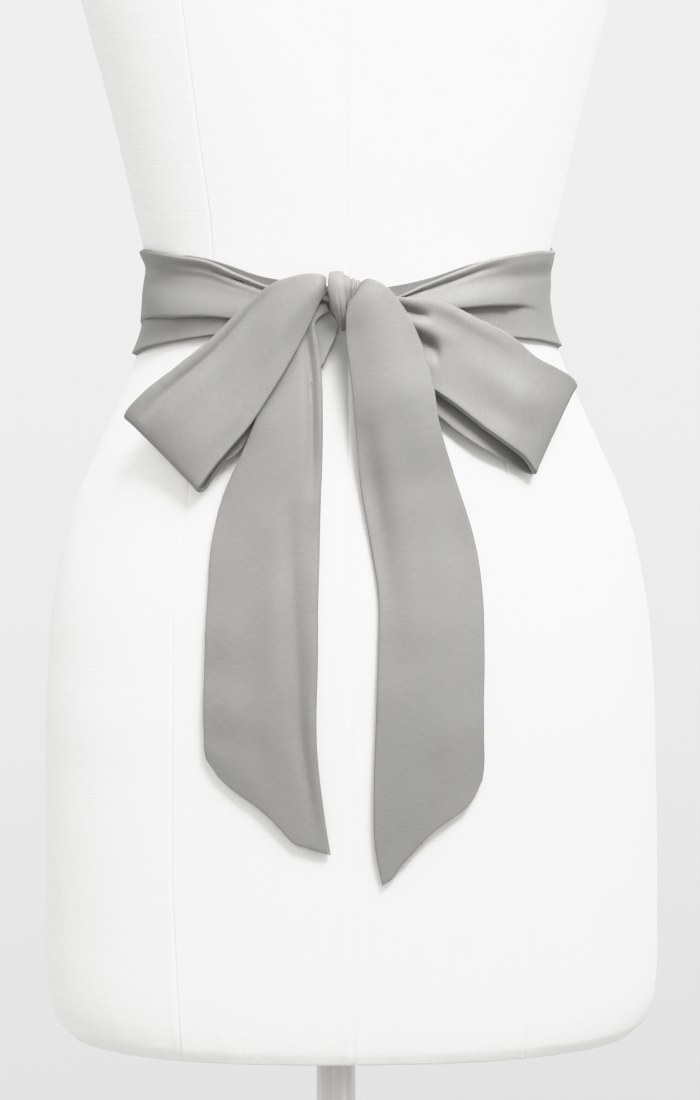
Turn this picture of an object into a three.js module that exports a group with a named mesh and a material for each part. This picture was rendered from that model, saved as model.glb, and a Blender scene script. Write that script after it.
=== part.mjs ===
// A satin sash tied in a bow round the waist of a dress form, in millimetres, +Z up.
// The origin is the centre of the stand's underside. The bow faces -Y, which is the form's back.
import * as THREE from 'three';

// ---- driving dimensions -------------------------------------------------------------------------
const FORM_X = 10; // the form's centre line stands this far to +X of its pole
const WAIST_Z = 1024; // height of the waist line, and of the bow's knot, above the floor
const FORM_BOTTOM_Z = 597;
const FORM_SIDES = 40; // flats round the form
const CLOTH = 1.6; // two plies of satin, pressed together
const KNOT_CLOTH = 2; // the same cloth where it is drawn tight round the knot
const POLE_RADIUS = 11.5;
const POLE_TOP_Z = FORM_BOTTOM_Z - 0.3;
const BASE_RADIUS = 205;
const BASE_RIM = 7; // thickness of the base plate at its rim
const BASE_HUB_RADIUS = 21;
const BASE_HUB_TOP_Z = 62;

// ---- the form: one row for each level, half width, depth behind and in front of the side line,
// and the power of the rounded-square section -----------------------------------------------------
const FORM_LEVELS = [
  { z: 597, side: 166, back: 110, front: 88, power: 2.4 },
  { z: 605, side: 174, back: 113, front: 92, power: 2.4 },
  { z: 625, side: 179, back: 115.5, front: 95, power: 2.4 },
  { z: 670, side: 179.5, back: 117.5, front: 96, power: 2.4 },
  { z: 720, side: 179.3, back: 119, front: 97, power: 2.4 },
  { z: 755, side: 178.7, back: 120.5, front: 98, power: 2.35 },
  { z: 790, side: 177.8, back: 121, front: 98, power: 2.35 },
  { z: 815, side: 176.4, back: 120.5, front: 98, power: 2.3 },
  { z: 840, side: 174.4, back: 119, front: 98, power: 2.3 },
  { z: 862, side: 171, back: 116.5, front: 98, power: 2.3 },
  { z: 885, side: 166.2, back: 113, front: 98, power: 2.25 },
  { z: 910, side: 158.6, back: 109, front: 97, power: 2.2 },
  { z: 935, side: 147.6, back: 104, front: 96, power: 2.2 },
  { z: 955, side: 138.4, back: 100, front: 94, power: 2.2 },
  { z: 972, side: 131, back: 96.5, front: 92, power: 2.2 },
  { z: 990, side: 123.6, back: 93, front: 90, power: 2.2 },
  { z: 1010, side: 117.4, back: 90, front: 88, power: 2.2 },
  { z: 1032, side: 115.4, back: 88, front: 88, power: 2.2 },
  { z: 1052, side: 117.6, back: 88.6, front: 89.5, power: 2.2 },
  { z: 1070, side: 121.6, back: 90, front: 93, power: 2.2 },
  { z: 1112, side: 131, back: 95, front: 100, power: 2.2 },
  { z: 1150, side: 140.2, back: 99, front: 108, power: 2.2 },
  { z: 1198, side: 152.4, back: 103, front: 114, power: 2.2 },
  { z: 1240, side: 159, back: 105, front: 113, power: 2.2 },
  { z: 1290, side: 163, back: 104.5, front: 106, power: 2.2 },
  { z: 1340, side: 170, back: 100, front: 97, power: 2.15 },
  { z: 1374, side: 177, back: 91, front: 84, power: 2 },
  { z: 1386, side: 172, back: 84, front: 77, power: 1.9 },
  { z: 1400, side: 142, back: 75, front: 68, power: 1.9 },
  { z: 1416, side: 103, back: 65, front: 58, power: 1.95 },
  { z: 1432, side: 70, back: 57, front: 52, power: 2 },
  { z: 1450, side: 56, back: 53, front: 50, power: 2 },
  { z: 1500, side: 52, back: 50, front: 50, power: 2 },
  { z: 1508, side: 48, back: 46, front: 46, power: 2 },
];
const FLAT_BEND = 6;
const BUST = { x: 76, z: 1205, depth: 30, halfWidth: 46, halfHeight: 56 };

// The form's section at height z, between its levels by a cubic that follows both slopes.
function formSection(z) {
  const last = FORM_LEVELS.length - 2;
  let i = FORM_LEVELS.findIndex((level) => level.z > z) - 1;
  if (i < 0) i = z < FORM_LEVELS[0].z ? 0 : last;
  const [a, b] = [FORM_LEVELS[i], FORM_LEVELS[i + 1]];
  const before = FORM_LEVELS[Math.max(0, i - 1)];
  const after = FORM_LEVELS[Math.min(last + 1, i + 2)];
  const h = b.z - a.z;
  const t = THREE.MathUtils.clamp((z - a.z) / h, 0, 1);
  const between = (key) => {
    const slopeA = (b[key] - before[key]) / (b.z - before.z);
    const slopeB = (after[key] - a[key]) / (after.z - a.z);
    const t2 = t * t;
    const t3 = t2 * t;
    return (2 * t3 - 3 * t2 + 1) * a[key] + (t3 - 2 * t2 + t) * h * slopeA
      + (3 * t2 - 2 * t3) * b[key] + (t3 - t2) * h * slopeB;
  };
  return { side: between('side'), back: between('back'), front: between('front'), power: between('power') };
}

// A point of the form's skin at an angle from the centre back (positive towards +X), moved out by lift.
// The bust is a rounded mound on either side of the centre front.
function formPoint(angle, z, lift = 0) {
  const { side, back, front, power } = formSection(z);
  const [s, c] = [Math.sin(angle), Math.cos(angle)];
  const depth = c > 0 ? back : front;
  const x = side * Math.sign(s) * Math.abs(s) ** (2 / power);
  const y = -depth * Math.sign(c) * Math.abs(c) ** (2 / power);
  const out = new THREE.Vector2(
    (Math.sign(x) * Math.abs(x / side) ** (power - 1)) / side,
    (Math.sign(y) * Math.abs(y / depth) ** (power - 1)) / depth,
  ).normalize();
  const bust = c > 0 ? 0 : BUST.depth * c * c
    * Math.exp(-(((z - BUST.z) / BUST.halfHeight) ** 2) - (((Math.abs(x) - BUST.x) / BUST.halfWidth) ** 2));
  return new THREE.Vector3(x + out.x * lift, y + bust + out.y * lift, z);
}

// The depth (y) of the form's back at x and z. Past flatFrom the back is carried on sideways as a flat
// plane, which is what the bow's loops spread across, with a rounded bend of size FLAT_BEND.
function backY(x, z, flatFrom = Infinity) {
  const { side, back, power } = formSection(z);
  const reach = -FLAT_BEND * Math.log(Math.exp(-Math.abs(x) / FLAT_BEND) + Math.exp(-flatFrom / FLAT_BEND));
  const share = Math.min(reach / side, 0.98);
  return -back * (1 - share ** power) ** (1 / power);
}

// ---- solids from surfaces -----------------------------------------------------------------------

// A closed mesh from points and quads; a quad with a repeated corner becomes one triangle.
function solidFromQuads(points, quads) {
  const index = [];
  for (const [a, b, c, d] of quads) {
    if (a !== b && b !== c && c !== a) index.push(a, b, c);
    if (a !== c && c !== d && d !== a) index.push(a, c, d);
  }
  let volume = 0;
  for (let i = 0; i < index.length; i += 3) {
    const [p, q, r] = [points[index[i]], points[index[i + 1]], points[index[i + 2]]];
    volume += p.dot(new THREE.Vector3().crossVectors(q, r));
  }
  if (volume < 0) for (let i = 0; i < index.length; i += 3) [index[i], index[i + 1]] = [index[i + 1], index[i]];
  return new THREE.BufferGeometry().setFromPoints(points).setIndex(index);
}

// A solid of stacked rings, each an array of the same number of points, with fans closing both ends.
function ringSolid(rings) {
  const sides = rings[0].length;
  const centre = (ring) => ring.reduce((sum, p) => sum.add(p), new THREE.Vector3()).divideScalar(sides);
  const points = [...rings.flat(), centre(rings[0]), centre(rings.at(-1))];
  const [low, high] = [points.length - 2, points.length - 1];
  const top = (rings.length - 1) * sides;
  const quads = [];
  for (let j = 0; j < sides; j++) {
    const k = (j + 1) % sides;
    for (let i = 0; i < rings.length - 1; i++) {
      quads.push([i * sides + j, i * sides + k, (i + 1) * sides + k, (i + 1) * sides + j]);
    }
    quads.push([low, k, j, j], [high, top + j, top + k, top + k]);
  }
  return solidFromQuads(points, quads);
}

const evenly = (count) => Array.from({ length: count + 1 }, (_, i) => i / count);

// A sheet of cloth: surface(across, along) is its middle, with both from 0 to 1, and it is given
// its thickness half to each side, square to the surface. places lists where its columns lie across.
function clothSolid(surface, places, rows, thickness) {
  const columns = places.length - 1;
  const at = (i, j) => surface(places[i], j / rows);
  const [front, back] = [[], []];
  for (let j = 0; j <= rows; j++) {
    for (let i = 0; i <= columns; i++) {
      const across = at(Math.min(i + 1, columns), j).sub(at(Math.max(i - 1, 0), j));
      const along = at(i, Math.min(j + 1, rows)).sub(at(i, Math.max(j - 1, 0)));
      const out = across.cross(along).setLength(thickness / 2);
      front.push(at(i, j).add(out));
      back.push(at(i, j).sub(out));
    }
  }
  const width = columns + 1;
  const under = front.length;
  const quads = [];
  for (let j = 0; j < rows; j++) {
    for (let i = 0; i < columns; i++) {
      const a = j * width + i;
      quads.push([a, a + 1, a + width + 1, a + width]);
      quads.push([under + a, under + a + width, under + a + width + 1, under + a + 1]);
    }
    for (const [edge, turn] of [[j * width, 1], [j * width + columns, -1]]) {
      const quad = [edge, edge + width, under + edge + width, under + edge];
      quads.push(turn > 0 ? quad : quad.reverse());
    }
  }
  for (let i = 0; i < columns; i++) {
    for (const [edge, turn] of [[i, -1], [rows * width + i, 1]]) {
      const quad = [edge, edge + 1, under + edge + 1, under + edge];
      quads.push(turn < 0 ? quad.reverse() : quad);
    }
  }
  return solidFromQuads([...front, ...back], quads);
}

// ---- stretches of the sash ----------------------------------------------------------------------
// A stretch is a table with a row for each section across it: the places of its two edges, a and b,
// as x from the form's centre line, z from the waist line and lift off the form's back, and how far
// the cloth bulges out between them. Smooth curves carry each column from row to row.

function columnCurve(rows, key) {
  const values = rows.map((row) => row[key]);
  return (t) => {
    const s = THREE.MathUtils.clamp(t, 0, 1) * (rows.length - 1);
    const i = Math.min(Math.floor(s), rows.length - 2);
    const f = s - i;
    const [p0, p1, p2, p3] = [values[Math.max(i - 1, 0)], values[i], values[i + 1], values[Math.min(i + 2, rows.length - 1)]];
    return 0.5 * (2 * p1 + (p2 - p0) * f + (2 * p0 - 5 * p1 + 4 * p2 - p3) * f * f
      + (3 * p1 - p0 - 3 * p2 + p3) * f * f * f);
  };
}

function stretch(rows, { flatFrom, folds = [], hem = () => 0 } = {}) {
  const column = Object.fromEntries(Object.keys(rows[0]).map((key) => [key, columnCurve(rows, key)]));
  return (across, along) => {
    const mix = (a, b) => column[a](along) * (1 - across) + column[b](along) * across;
    const x = mix('ax', 'bx');
    const z = mix('az', 'bz') + hem(across) * THREE.MathUtils.smoothstep(along, 0.8, 1);
    let lift = mix('aLift', 'bLift') + column.bulge(along) * 4 * across * (1 - across);
    for (const fold of folds) lift += foldDepth(fold, across, along);
    return new THREE.Vector3(x, backY(x, z + WAIST_Z, flatFrom) - lift, z + WAIST_Z);
  };
}

// A soft ridge (deep > 0) or trough (deep < 0) that runs along the stretch from one place to another,
// given as across and along, with a half width in the same shares, and dies away at both ends.
function foldDepth({ from, to, half, deep }, across, along) {
  const t = (along - from[1]) / (to[1] - from[1]);
  if (t < 0 || t > 1) return 0;
  const away = (across - (from[0] + (to[0] - from[0]) * t)) / half;
  return deep * Math.sin(Math.PI * t) * Math.exp(-away * away);
}

// The waist band lies round the form from the knot's left, round the front, and back to its right.
// side is the angle from the centre back in degrees, negative to the left as the bow is faced.
const BAND_SECTIONS = [
  { side: -2.5, top: 9, bottom: -5, lift: 3.4 },
  { side: -10, top: 8.5, bottom: -10, lift: 3.3 },
  { side: -19, top: 10.5, bottom: -14, lift: 3.3 },
  { side: -28.5, top: 16.5, bottom: -16, lift: 3.5 },
  { side: -39, top: 25.4, bottom: -17.7, lift: 3.2 },
  { side: -52, top: 28.8, bottom: -21, lift: 2 },
  { side: -64, top: 30, bottom: -24.4, lift: 1.9 },
  { side: -78, top: 30.4, bottom: -28.5, lift: 1.9 },
  { side: -95, top: 29, bottom: -31.6, lift: 1.9 },
  { side: -125, top: 30, bottom: -31.8, lift: 1.9 },
  { side: -160, top: 29, bottom: -33, lift: 1.9 },
  { side: -195, top: 30.5, bottom: -32, lift: 1.9 },
  { side: -230, top: 29, bottom: -32.6, lift: 1.9 },
  { side: -265, top: 29.4, bottom: -29, lift: 1.9 },
  { side: -282, top: 28.2, bottom: -26, lift: 1.9 },
  { side: -296, top: 28.2, bottom: -23, lift: 1.9 },
  { side: -308.5, top: 27.4, bottom: -20.6, lift: 2 },
  { side: -321, top: 24.2, bottom: -18.5, lift: 3.2 },
  { side: -331.5, top: 18, bottom: -16.5, lift: 3.5 },
  { side: -341, top: 11, bottom: -14, lift: 3.3 },
  { side: -350, top: 3.5, bottom: -9, lift: 3.4 },
  { side: -358.6, top: 3, bottom: -5, lift: 3.4 },
];
const BAND_COLUMNS = [0, 0.2, 0.4, 0.55, 0.64, 0.7, 0.84, 1];

// Pleats drawn in from the knot: the cloth swells out from the band's top edge to a crease, a share
// of the way across, and drops back below it. deep is how far out it stands at its deepest place.
const BAND_PLEATS = [
  { from: -9, deepest: -30, to: -64, crease: 0.64, deep: 2.6 },
  { from: -350, deepest: -326, to: -300, crease: 0.64, deep: 2.4 },
];
const BAND_WAVES = [
  { from: [0.3, 0.3], to: [0.4, 0.52], half: 0.14, deep: 1.2 },
  { from: [0.66, 0.42], to: [0.58, 0.7], half: 0.12, deep: 1.1 },
];

function pleatDepth({ from, deepest, to, crease, deep }, across, side) {
  if ((side - from) * (side - to) > 0) return 0;
  const nearKnot = (side - deepest) * (from - deepest) > 0;
  const strength = nearKnot
    ? 1 - 0.4 * THREE.MathUtils.smoothstep(Math.abs(side - deepest), 0, Math.abs(from - deepest))
    : 1 - THREE.MathUtils.smoothstep(Math.abs(side - deepest), 0, Math.abs(to - deepest));
  const swell = across < crease ? (across / crease) ** 2 : 1 - THREE.MathUtils.smoothstep(across, crease, crease + 0.06);
  return deep * strength * swell;
}

function bandSurface() {
  const column = Object.fromEntries(['side', 'top', 'bottom', 'lift'].map((key) => [key, columnCurve(BAND_SECTIONS, key)]));
  return (across, along) => {
    const side = column.side(along);
    const z = column.top(along) * (1 - across) + column.bottom(along) * across;
    let lift = column.lift(along);
    for (const pleat of BAND_PLEATS) lift += pleatDepth(pleat, across, side);
    for (const wave of BAND_WAVES) lift += foldDepth(wave, across, along);
    return formPoint(THREE.MathUtils.degToRad(side), z + WAIST_Z, lift);
  };
}

// The band's top edge, turned down behind it where it is drawn in to the knot.
const TUCK_LEFT = [
  { ax: -68, az: 23.4, aLift: 1.2, bx: -69, bz: 20, bLift: 1.2, bulge: 0 },
  { ax: -60, az: 20.6, aLift: 1.3, bx: -61, bz: 13, bLift: 1.2, bulge: 0 },
  { ax: -50, az: 17.4, aLift: 1.3, bx: -51, bz: 8, bLift: 1.2, bulge: 0 },
  { ax: -37, az: 14.9, aLift: 1.3, bx: -38, bz: 5, bLift: 1.2, bulge: 0 },
  { ax: -22, az: 12.5, aLift: 1.3, bx: -23, bz: 3, bLift: 1.2, bulge: 0 },
  { ax: -8, az: 10, aLift: 1.3, bx: -8, bz: 2, bLift: 1.2, bulge: 0 },
];
const TUCK_RIGHT = [
  { ax: 67, az: 22.4, aLift: 1.2, bx: 68, bz: 19, bLift: 1.2, bulge: 0 },
  { ax: 58, az: 19.6, aLift: 1.3, bx: 59, bz: 12, bLift: 1.2, bulge: 0 },
  { ax: 46, az: 15.9, aLift: 1.3, bx: 47, bz: 6, bLift: 1.2, bulge: 0 },
  { ax: 33, az: 12.8, aLift: 1.3, bx: 34, bz: 2, bLift: 1.2, bulge: 0 },
  { ax: 18, az: 10, aLift: 1.3, bx: 19, bz: 0, bLift: 1.2, bulge: 0 },
  { ax: 3, az: 8, aLift: 1.3, bx: 3, bz: 0, bLift: 1.2, bulge: 0 },
];

// Each loop runs out from the knot as the front layer, turns at its tip and comes back behind.
// Edge a is the upper one and edge b the lower. Lifts are from the plane that the bow spreads on.
const LOOP_FLAT_FROM = 55;
const LOOP_LEFT = [
  { ax: -12.8, az: 14.5, aLift: 15.5, bx: -12.6, bz: 7, bLift: 15.5, bulge: 1 },
  { ax: -16, az: 17.4, aLift: 16, bx: -16.5, bz: 1.6, bLift: 16, bulge: 3 },
  { ax: -27, az: 17.3, aLift: 16.5, bx: -21, bz: -9.4, bLift: 16, bulge: 4 },
  { ax: -42, az: 12.2, aLift: 16.5, bx: -29, bz: -25.4, bLift: 16, bulge: 4 },
  { ax: -57, az: 0.6, aLift: 15, bx: -41, bz: -45.6, bLift: 15.5, bulge: 3.5 },
  { ax: -74, az: -16.4, aLift: 11, bx: -55, bz: -66.6, bLift: 14, bulge: 3 },
  { ax: -93, az: -31.4, aLift: 7, bx: -66.5, bz: -79.8, bLift: 12, bulge: 2.5 },
  { ax: -111, az: -45, aLift: 1.5, bx: -76, bz: -91, bLift: 9.5, bulge: 2 },
  { ax: -122.5, az: -56, aLift: -4.5, bx: -82, bz: -99.5, bLift: 6.5, bulge: 0.6 },
  { ax: -125.4, az: -61.5, aLift: -9, bx: -83.4, bz: -102, bLift: 3, bulge: 0 },
  { ax: -121.5, az: -59, aLift: -13.5, bx: -80.5, bz: -102.5, bLift: -0.5, bulge: -0.6 },
  { ax: -109, az: -49, aLift: -9, bx: -76.5, bz: -97.4, bLift: 1.4, bulge: -1 },
  { ax: -91, az: -35, aLift: -2.4, bx: -71, bz: -88.4, bLift: 3.2, bulge: -0.6 },
  { ax: -72, az: -19, aLift: 2.2, bx: -60, bz: -80, bLift: 4.8, bulge: 0 },
  { ax: -54, az: -3, aLift: 7.2, bx: -44, bz: -56, bLift: 6.3, bulge: 0 },
  { ax: -36, az: 8, aLift: 8.1, bx: -27, bz: -22, bLift: 7.8, bulge: 0 },
  { ax: -20, az: 9, aLift: 8, bx: -18, bz: -5, bLift: 7.9, bulge: 0 },
  { ax: -12.6, az: 7.5, aLift: 8, bx: -12.6, bz: 1, bLift: 8, bulge: 0 },
];
const LOOP_RIGHT = [
  { ax: 8.5, az: 3, aLift: 12, bx: 8.5, bz: -5, bLift: 12, bulge: 0.5 },
  { ax: 20, az: 4, aLift: 13, bx: 17, bz: -20, bLift: 12.6, bulge: 1.2 },
  { ax: 38, az: 4, aLift: 13.4, bx: 32, bz: -37, bLift: 12.6, bulge: 1.6 },
  { ax: 55, az: 1, aLift: 13, bx: 47, bz: -47.8, bLift: 13, bulge: 1.4 },
  { ax: 72, az: -7.6, aLift: 11.2, bx: 60, bz: -57, bLift: 12.4, bulge: 1.2 },
  { ax: 91, az: -17.6, aLift: 6.6, bx: 75, bz: -69, bLift: 9.2, bulge: 1.4 },
  { ax: 105, az: -29.5, aLift: 2, bx: 88, bz: -78.5, bLift: 5.2, bulge: 2 },
  { ax: 118, az: -36.6, aLift: -5.5, bx: 97.5, bz: -86, bLift: -0.5, bulge: 1 },
  { ax: 125.5, az: -41.5, aLift: -11.5, bx: 102.2, bz: -92.5, bLift: -5.5, bulge: 0.3 },
  { ax: 128.4, az: -46, aLift: -16.5, bx: 103.5, bz: -95.5, bLift: -9.5, bulge: 0 },
  { ax: 124.5, az: -44.5, aLift: -21, bx: 101.5, bz: -95.8, bLift: -13, bulge: -0.6 },
  { ax: 115, az: -39.5, aLift: -17, bx: 94.5, bz: -92.5, bLift: -9.5, bulge: -1.5 },
  { ax: 103, az: -33, aLift: -10, bx: 86, bz: -87, bLift: -4, bulge: -1.2 },
  { ax: 88, az: -21, aLift: -4.6, bx: 74, bz: -80, bLift: 1.5, bulge: -0.8 },
  { ax: 70, az: -11, aLift: 2.5, bx: 60, bz: -70.5, bLift: 3.8, bulge: -0.2 },
  { ax: 52, az: -2, aLift: 7.4, bx: 46, bz: -58.5, bLift: 5.9, bulge: 0 },
  { ax: 34, az: 2, aLift: 8.8, bx: 29, bz: -43, bLift: 7.2, bulge: 0 },
  { ax: 18, az: 2, aLift: 8.8, bx: 16, bz: -18, bLift: 8.4, bulge: 0 },
  { ax: 8.5, az: 1.5, aLift: 8.8, bx: 8.5, bz: -4, bLift: 8.8, bulge: 0 },
];
const LOOP_RIGHT_FOLDS = [
  { from: [0.2, 0.02], to: [0.22, 0.22], half: 0.1, deep: -2.2 },
  { from: [0.62, 0.04], to: [0.5, 0.27], half: 0.13, deep: -2.8 },
];

// The tails: edge a is the left one as the bow is faced and edge b the right.
const TAIL_RIGHT = [
  { ax: 5.6, az: 0, aLift: 17.4, bx: 8.6, bz: 10.5, bLift: 15, bulge: 1 },
  { ax: 2, az: -3, aLift: 18.6, bx: 13, bz: 14.6, bLift: 20, bulge: 2.4 },
  { ax: -0.2, az: -8, aLift: 18.8, bx: 22, bz: 10, bLift: 21, bulge: 4 },
  { ax: -0.4, az: -19, aLift: 17.8, bx: 32, bz: -3, bLift: 20, bulge: 5 },
  { ax: 1, az: -34, aLift: 17, bx: 41, bz: -22, bLift: 19, bulge: 5.5 },
  { ax: 2.6, az: -52, aLift: 15.6, bx: 47, bz: -44, bLift: 19, bulge: 5 },
  { ax: 4.2, az: -76, aLift: 10, bx: 50.9, bz: -67, bLift: 16.5, bulge: 4 },
  { ax: 6.6, az: -102, aLift: 5.5, bx: 60.5, bz: -99, bLift: 9, bulge: 2.5 },
  { ax: 11.4, az: -131, aLift: 3.5, bx: 70, bz: -131, bLift: 5, bulge: 2 },
  { ax: 15.8, az: -161, aLift: 3.6, bx: 74.2, bz: -160, bLift: 4, bulge: 1.6 },
  { ax: 15.4, az: -194, aLift: 3.6, bx: 75, bz: -190, bLift: 4, bulge: 1.6 },
  { ax: 14.1, az: -229, aLift: 4, bx: 74.4, bz: -220, bLift: 4.4, bulge: 1.6 },
  { ax: 12.8, az: -266, aLift: 4.6, bx: 74.3, bz: -240, bLift: 5, bulge: 1.6 },
  { ax: 13, az: -298, aLift: 5, bx: 74.6, bz: -253, bLift: 5, bulge: 1.4 },
  { ax: 17, az: -321.5, aLift: 5, bx: 73.4, bz: -263, bLift: 5, bulge: 1.2 },
];
const TAIL_RIGHT_FOLDS = [
  { from: [0.18, 0.45], to: [0.3, 0.68], half: 0.16, deep: -1.6 },
  { from: [0.6, 0.52], to: [0.45, 0.9], half: 0.2, deep: 1 },
];
const TAIL_LEFT = [
  { ax: -13.6, az: 2, aLift: 11.8, bx: -12.4, bz: -1.6, bLift: 11.8, bulge: 0.6 },
  { ax: -23, az: 0, aLift: 11.8, bx: -15.4, bz: -5.4, bLift: 12, bulge: 0.8 },
  { ax: -35, az: -10, aLift: 11.8, bx: -18, bz: -11.6, bLift: 12.2, bulge: 0.8 },
  { ax: -42, az: -26, aLift: 11.8, bx: -16.2, bz: -22, bLift: 12.2, bulge: 0.8 },
  { ax: -46, az: -44, aLift: 11.6, bx: -14.5, bz: -40, bLift: 12, bulge: 0.8 },
  { ax: -52, az: -64, aLift: 11.3, bx: -14, bz: -62, bLift: 11.3, bulge: 1 },
  { ax: -60.5, az: -84, aLift: 8, bx: -14.4, bz: -84, bLift: 8.4, bulge: 2 },
  { ax: -71, az: -108, aLift: 5, bx: -15.4, bz: -108, bLift: 6, bulge: 2 },
  { ax: -76.6, az: -132, aLift: 4, bx: -16.1, bz: -132, bLift: 4.4, bulge: 2 },
  { ax: -79.2, az: -162, aLift: 3.6, bx: -17, bz: -162, bLift: 4, bulge: 1.8 },
  { ax: -81, az: -195, aLift: 3.8, bx: -17.5, bz: -197, bLift: 4, bulge: 1.6 },
  { ax: -81.9, az: -222, aLift: 4.2, bx: -18.6, bz: -233, bLift: 4.2, bulge: 1.6 },
  { ax: -81.8, az: -238, aLift: 4.6, bx: -17.4, bz: -258, bLift: 4.6, bulge: 1.4 },
  { ax: -81.5, az: -246, aLift: 5, bx: -14.4, bz: -284, bLift: 5, bulge: 1.2 },
  { ax: -80.4, az: -251, aLift: 5.2, bx: -11.4, bz: -304, bLift: 5.4, bulge: 1 },
];
const TAIL_LEFT_FOLDS = [
  { from: [0.74, 0.6], to: [0.93, 0.97], half: 0.12, deep: 1.8 }, // the ridge beside the inner edge
  { from: [0.32, 0.52], to: [0.4, 0.86], half: 0.2, deep: -0.9 },
];

// How far each tail's sewn end dips below a straight line, at even steps from its left corner to its right.
const hemCurve = (...steps) => columnCurve(steps.map((dip) => ({ dip })), 'dip');
const TAIL_RIGHT_HEM = hemCurve(-1, -2.6, -0.5, -0.3, 0, -0.2, -1.9, -4, -5.8, -5.2, 0);
const TAIL_LEFT_HEM = hemCurve(0, -4.6, -5.9, -5.5, -4.9, -5.6, -7.6, -9.8, -7, -4, -1);

// The half of the left tail that is still folded back behind it below the knot.
const TAIL_LEFT_UNDER = [
  { ax: -18, az: 0, aLift: 9.8, bx: -11.6, bz: -4.4, bLift: 9.8, bulge: 0 },
  { ax: -27, az: -6, aLift: 9.8, bx: -7, bz: -8, bLift: 9.6, bulge: 0.2 },
  { ax: -36, az: -16, aLift: 9.8, bx: -5.2, bz: -13.4, bLift: 8.8, bulge: 0.3 },
  { ax: -41, az: -28, aLift: 9.7, bx: -9.8, bz: -24.6, bLift: 8.8, bulge: 0.2 },
  { ax: -45, az: -44, aLift: 9.4, bx: -17, bz: -38.5, bLift: 9.2, bulge: 0 },
  { ax: -50, az: -60, aLift: 9.2, bx: -30, bz: -57, bLift: 9.2, bulge: 0 },
];

// The knot: a strip drawn tight over the gathered ends, with pleats of the same strip to its right.
const WRAP = [
  { ax: -10.4, az: 12.6, aLift: 6, bx: -1.4, bz: 12.6, bLift: 6, bulge: 0.2 },
  { ax: -10.4, az: 16.8, aLift: 9, bx: -1.8, bz: 17, bLift: 9, bulge: 0.6 },
  { ax: -10, az: 17.6, aLift: 14, bx: -2.2, bz: 17.7, bLift: 14.6, bulge: 1 },
  { ax: -11, az: 13.4, aLift: 18.8, bx: -1.8, bz: 13.6, bLift: 20, bulge: 1.2 },
  { ax: -11.6, az: 7.6, aLift: 20.4, bx: -1.4, bz: 7, bLift: 21.4, bulge: 1.5 },
  { ax: -10.2, az: 0.6, aLift: 20, bx: -1.2, bz: 0, bLift: 21, bulge: 1.6 },
  { ax: -7.4, az: -6.6, aLift: 17.4, bx: -1.2, bz: -6.8, bLift: 18, bulge: 1.2 },
  { ax: -4.6, az: -11.8, aLift: 13, bx: -1.3, bz: -12, bLift: 13.4, bulge: 0.6 },
  { ax: -4.2, az: -13.4, aLift: 8.6, bx: -1.6, bz: -13.4, bLift: 8.6, bulge: 0.3 },
];
const PLEATS = [
  { ax: -0.4, az: 16.4, aLift: 8.4, bx: 5.6, bz: 12.6, bLift: 8.4, bulge: 0.3 },
  { ax: -0.7, az: 16.6, aLift: 13.6, bx: 6, bz: 12.8, bLift: 12.4, bulge: 0.8 },
  { ax: -0.6, az: 11.6, aLift: 17.4, bx: 4.8, bz: 9.4, bLift: 16, bulge: 1 },
  { ax: -0.5, az: 6, aLift: 18, bx: 3, bz: 5.6, bLift: 16.8, bulge: 0.8 },
  { ax: -0.5, az: 1.8, aLift: 17.6, bx: 1.6, bz: 3, bLift: 16.9, bulge: 0.4 },
];
const CORE = { x: -3.6, z: 4, lift: 11.4, halfX: 6.6, halfZ: 11.4, halfLift: 5.8 };

// ---- the pieces ---------------------------------------------------------------------------------

const satin = new THREE.MeshStandardMaterial({ color: '#8f918a', roughness: 0.5, metalness: 0 });
const linen = new THREE.MeshStandardMaterial({ color: '#eeeeec', roughness: 0.9, metalness: 0 });
const steel = new THREE.MeshStandardMaterial({ color: '#c4c1bf', roughness: 0.35, metalness: 0.8 });
const enamel = new THREE.MeshStandardMaterial({ color: '#e9e9e8', roughness: 0.45, metalness: 0 });

function named(name, geometry, material) {
  const mesh = new THREE.Mesh(geometry, material);
  mesh.name = name;
  return mesh;
}

function formBody() {
  const ringAt = ({ z }) =>
    Array.from({ length: FORM_SIDES }, (_, j) => formPoint((j * 2 * Math.PI) / FORM_SIDES, z));
  return ringSolid(FORM_LEVELS.map(ringAt));
}

function knotCore() {
  const core = new THREE.SphereGeometry(1, 18, 12);
  core.deleteAttribute('uv');
  core.deleteAttribute('normal');
  core.scale(CORE.halfX, CORE.halfLift, CORE.halfZ);
  core.translate(CORE.x, backY(CORE.x, WAIST_Z) - CORE.lift, WAIST_Z + CORE.z);
  return core;
}

function turned(profile) {
  const points = profile.map(([r, z]) => new THREE.Vector2(r, z));
  return new THREE.LatheGeometry(points, 40).rotateX(Math.PI / 2);
}

const base = turned([
  [0, 0], [BASE_RADIUS - 2, 0], [BASE_RADIUS, 2], [BASE_RADIUS, BASE_RIM - 2], [BASE_RADIUS - 3, BASE_RIM],
  [60, 15], [BASE_HUB_RADIUS + 5, 19], [BASE_HUB_RADIUS, 26], [BASE_HUB_RADIUS, BASE_HUB_TOP_Z - 2],
  [BASE_HUB_RADIUS - 2, BASE_HUB_TOP_Z], [POLE_RADIUS + 0.4, BASE_HUB_TOP_Z], [POLE_RADIUS + 0.4, 12], [0, 12],
]);
const pole = turned([[0, 12.4], [POLE_RADIUS, 12.4], [POLE_RADIUS, POLE_TOP_Z], [0, POLE_TOP_Z]]);

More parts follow.
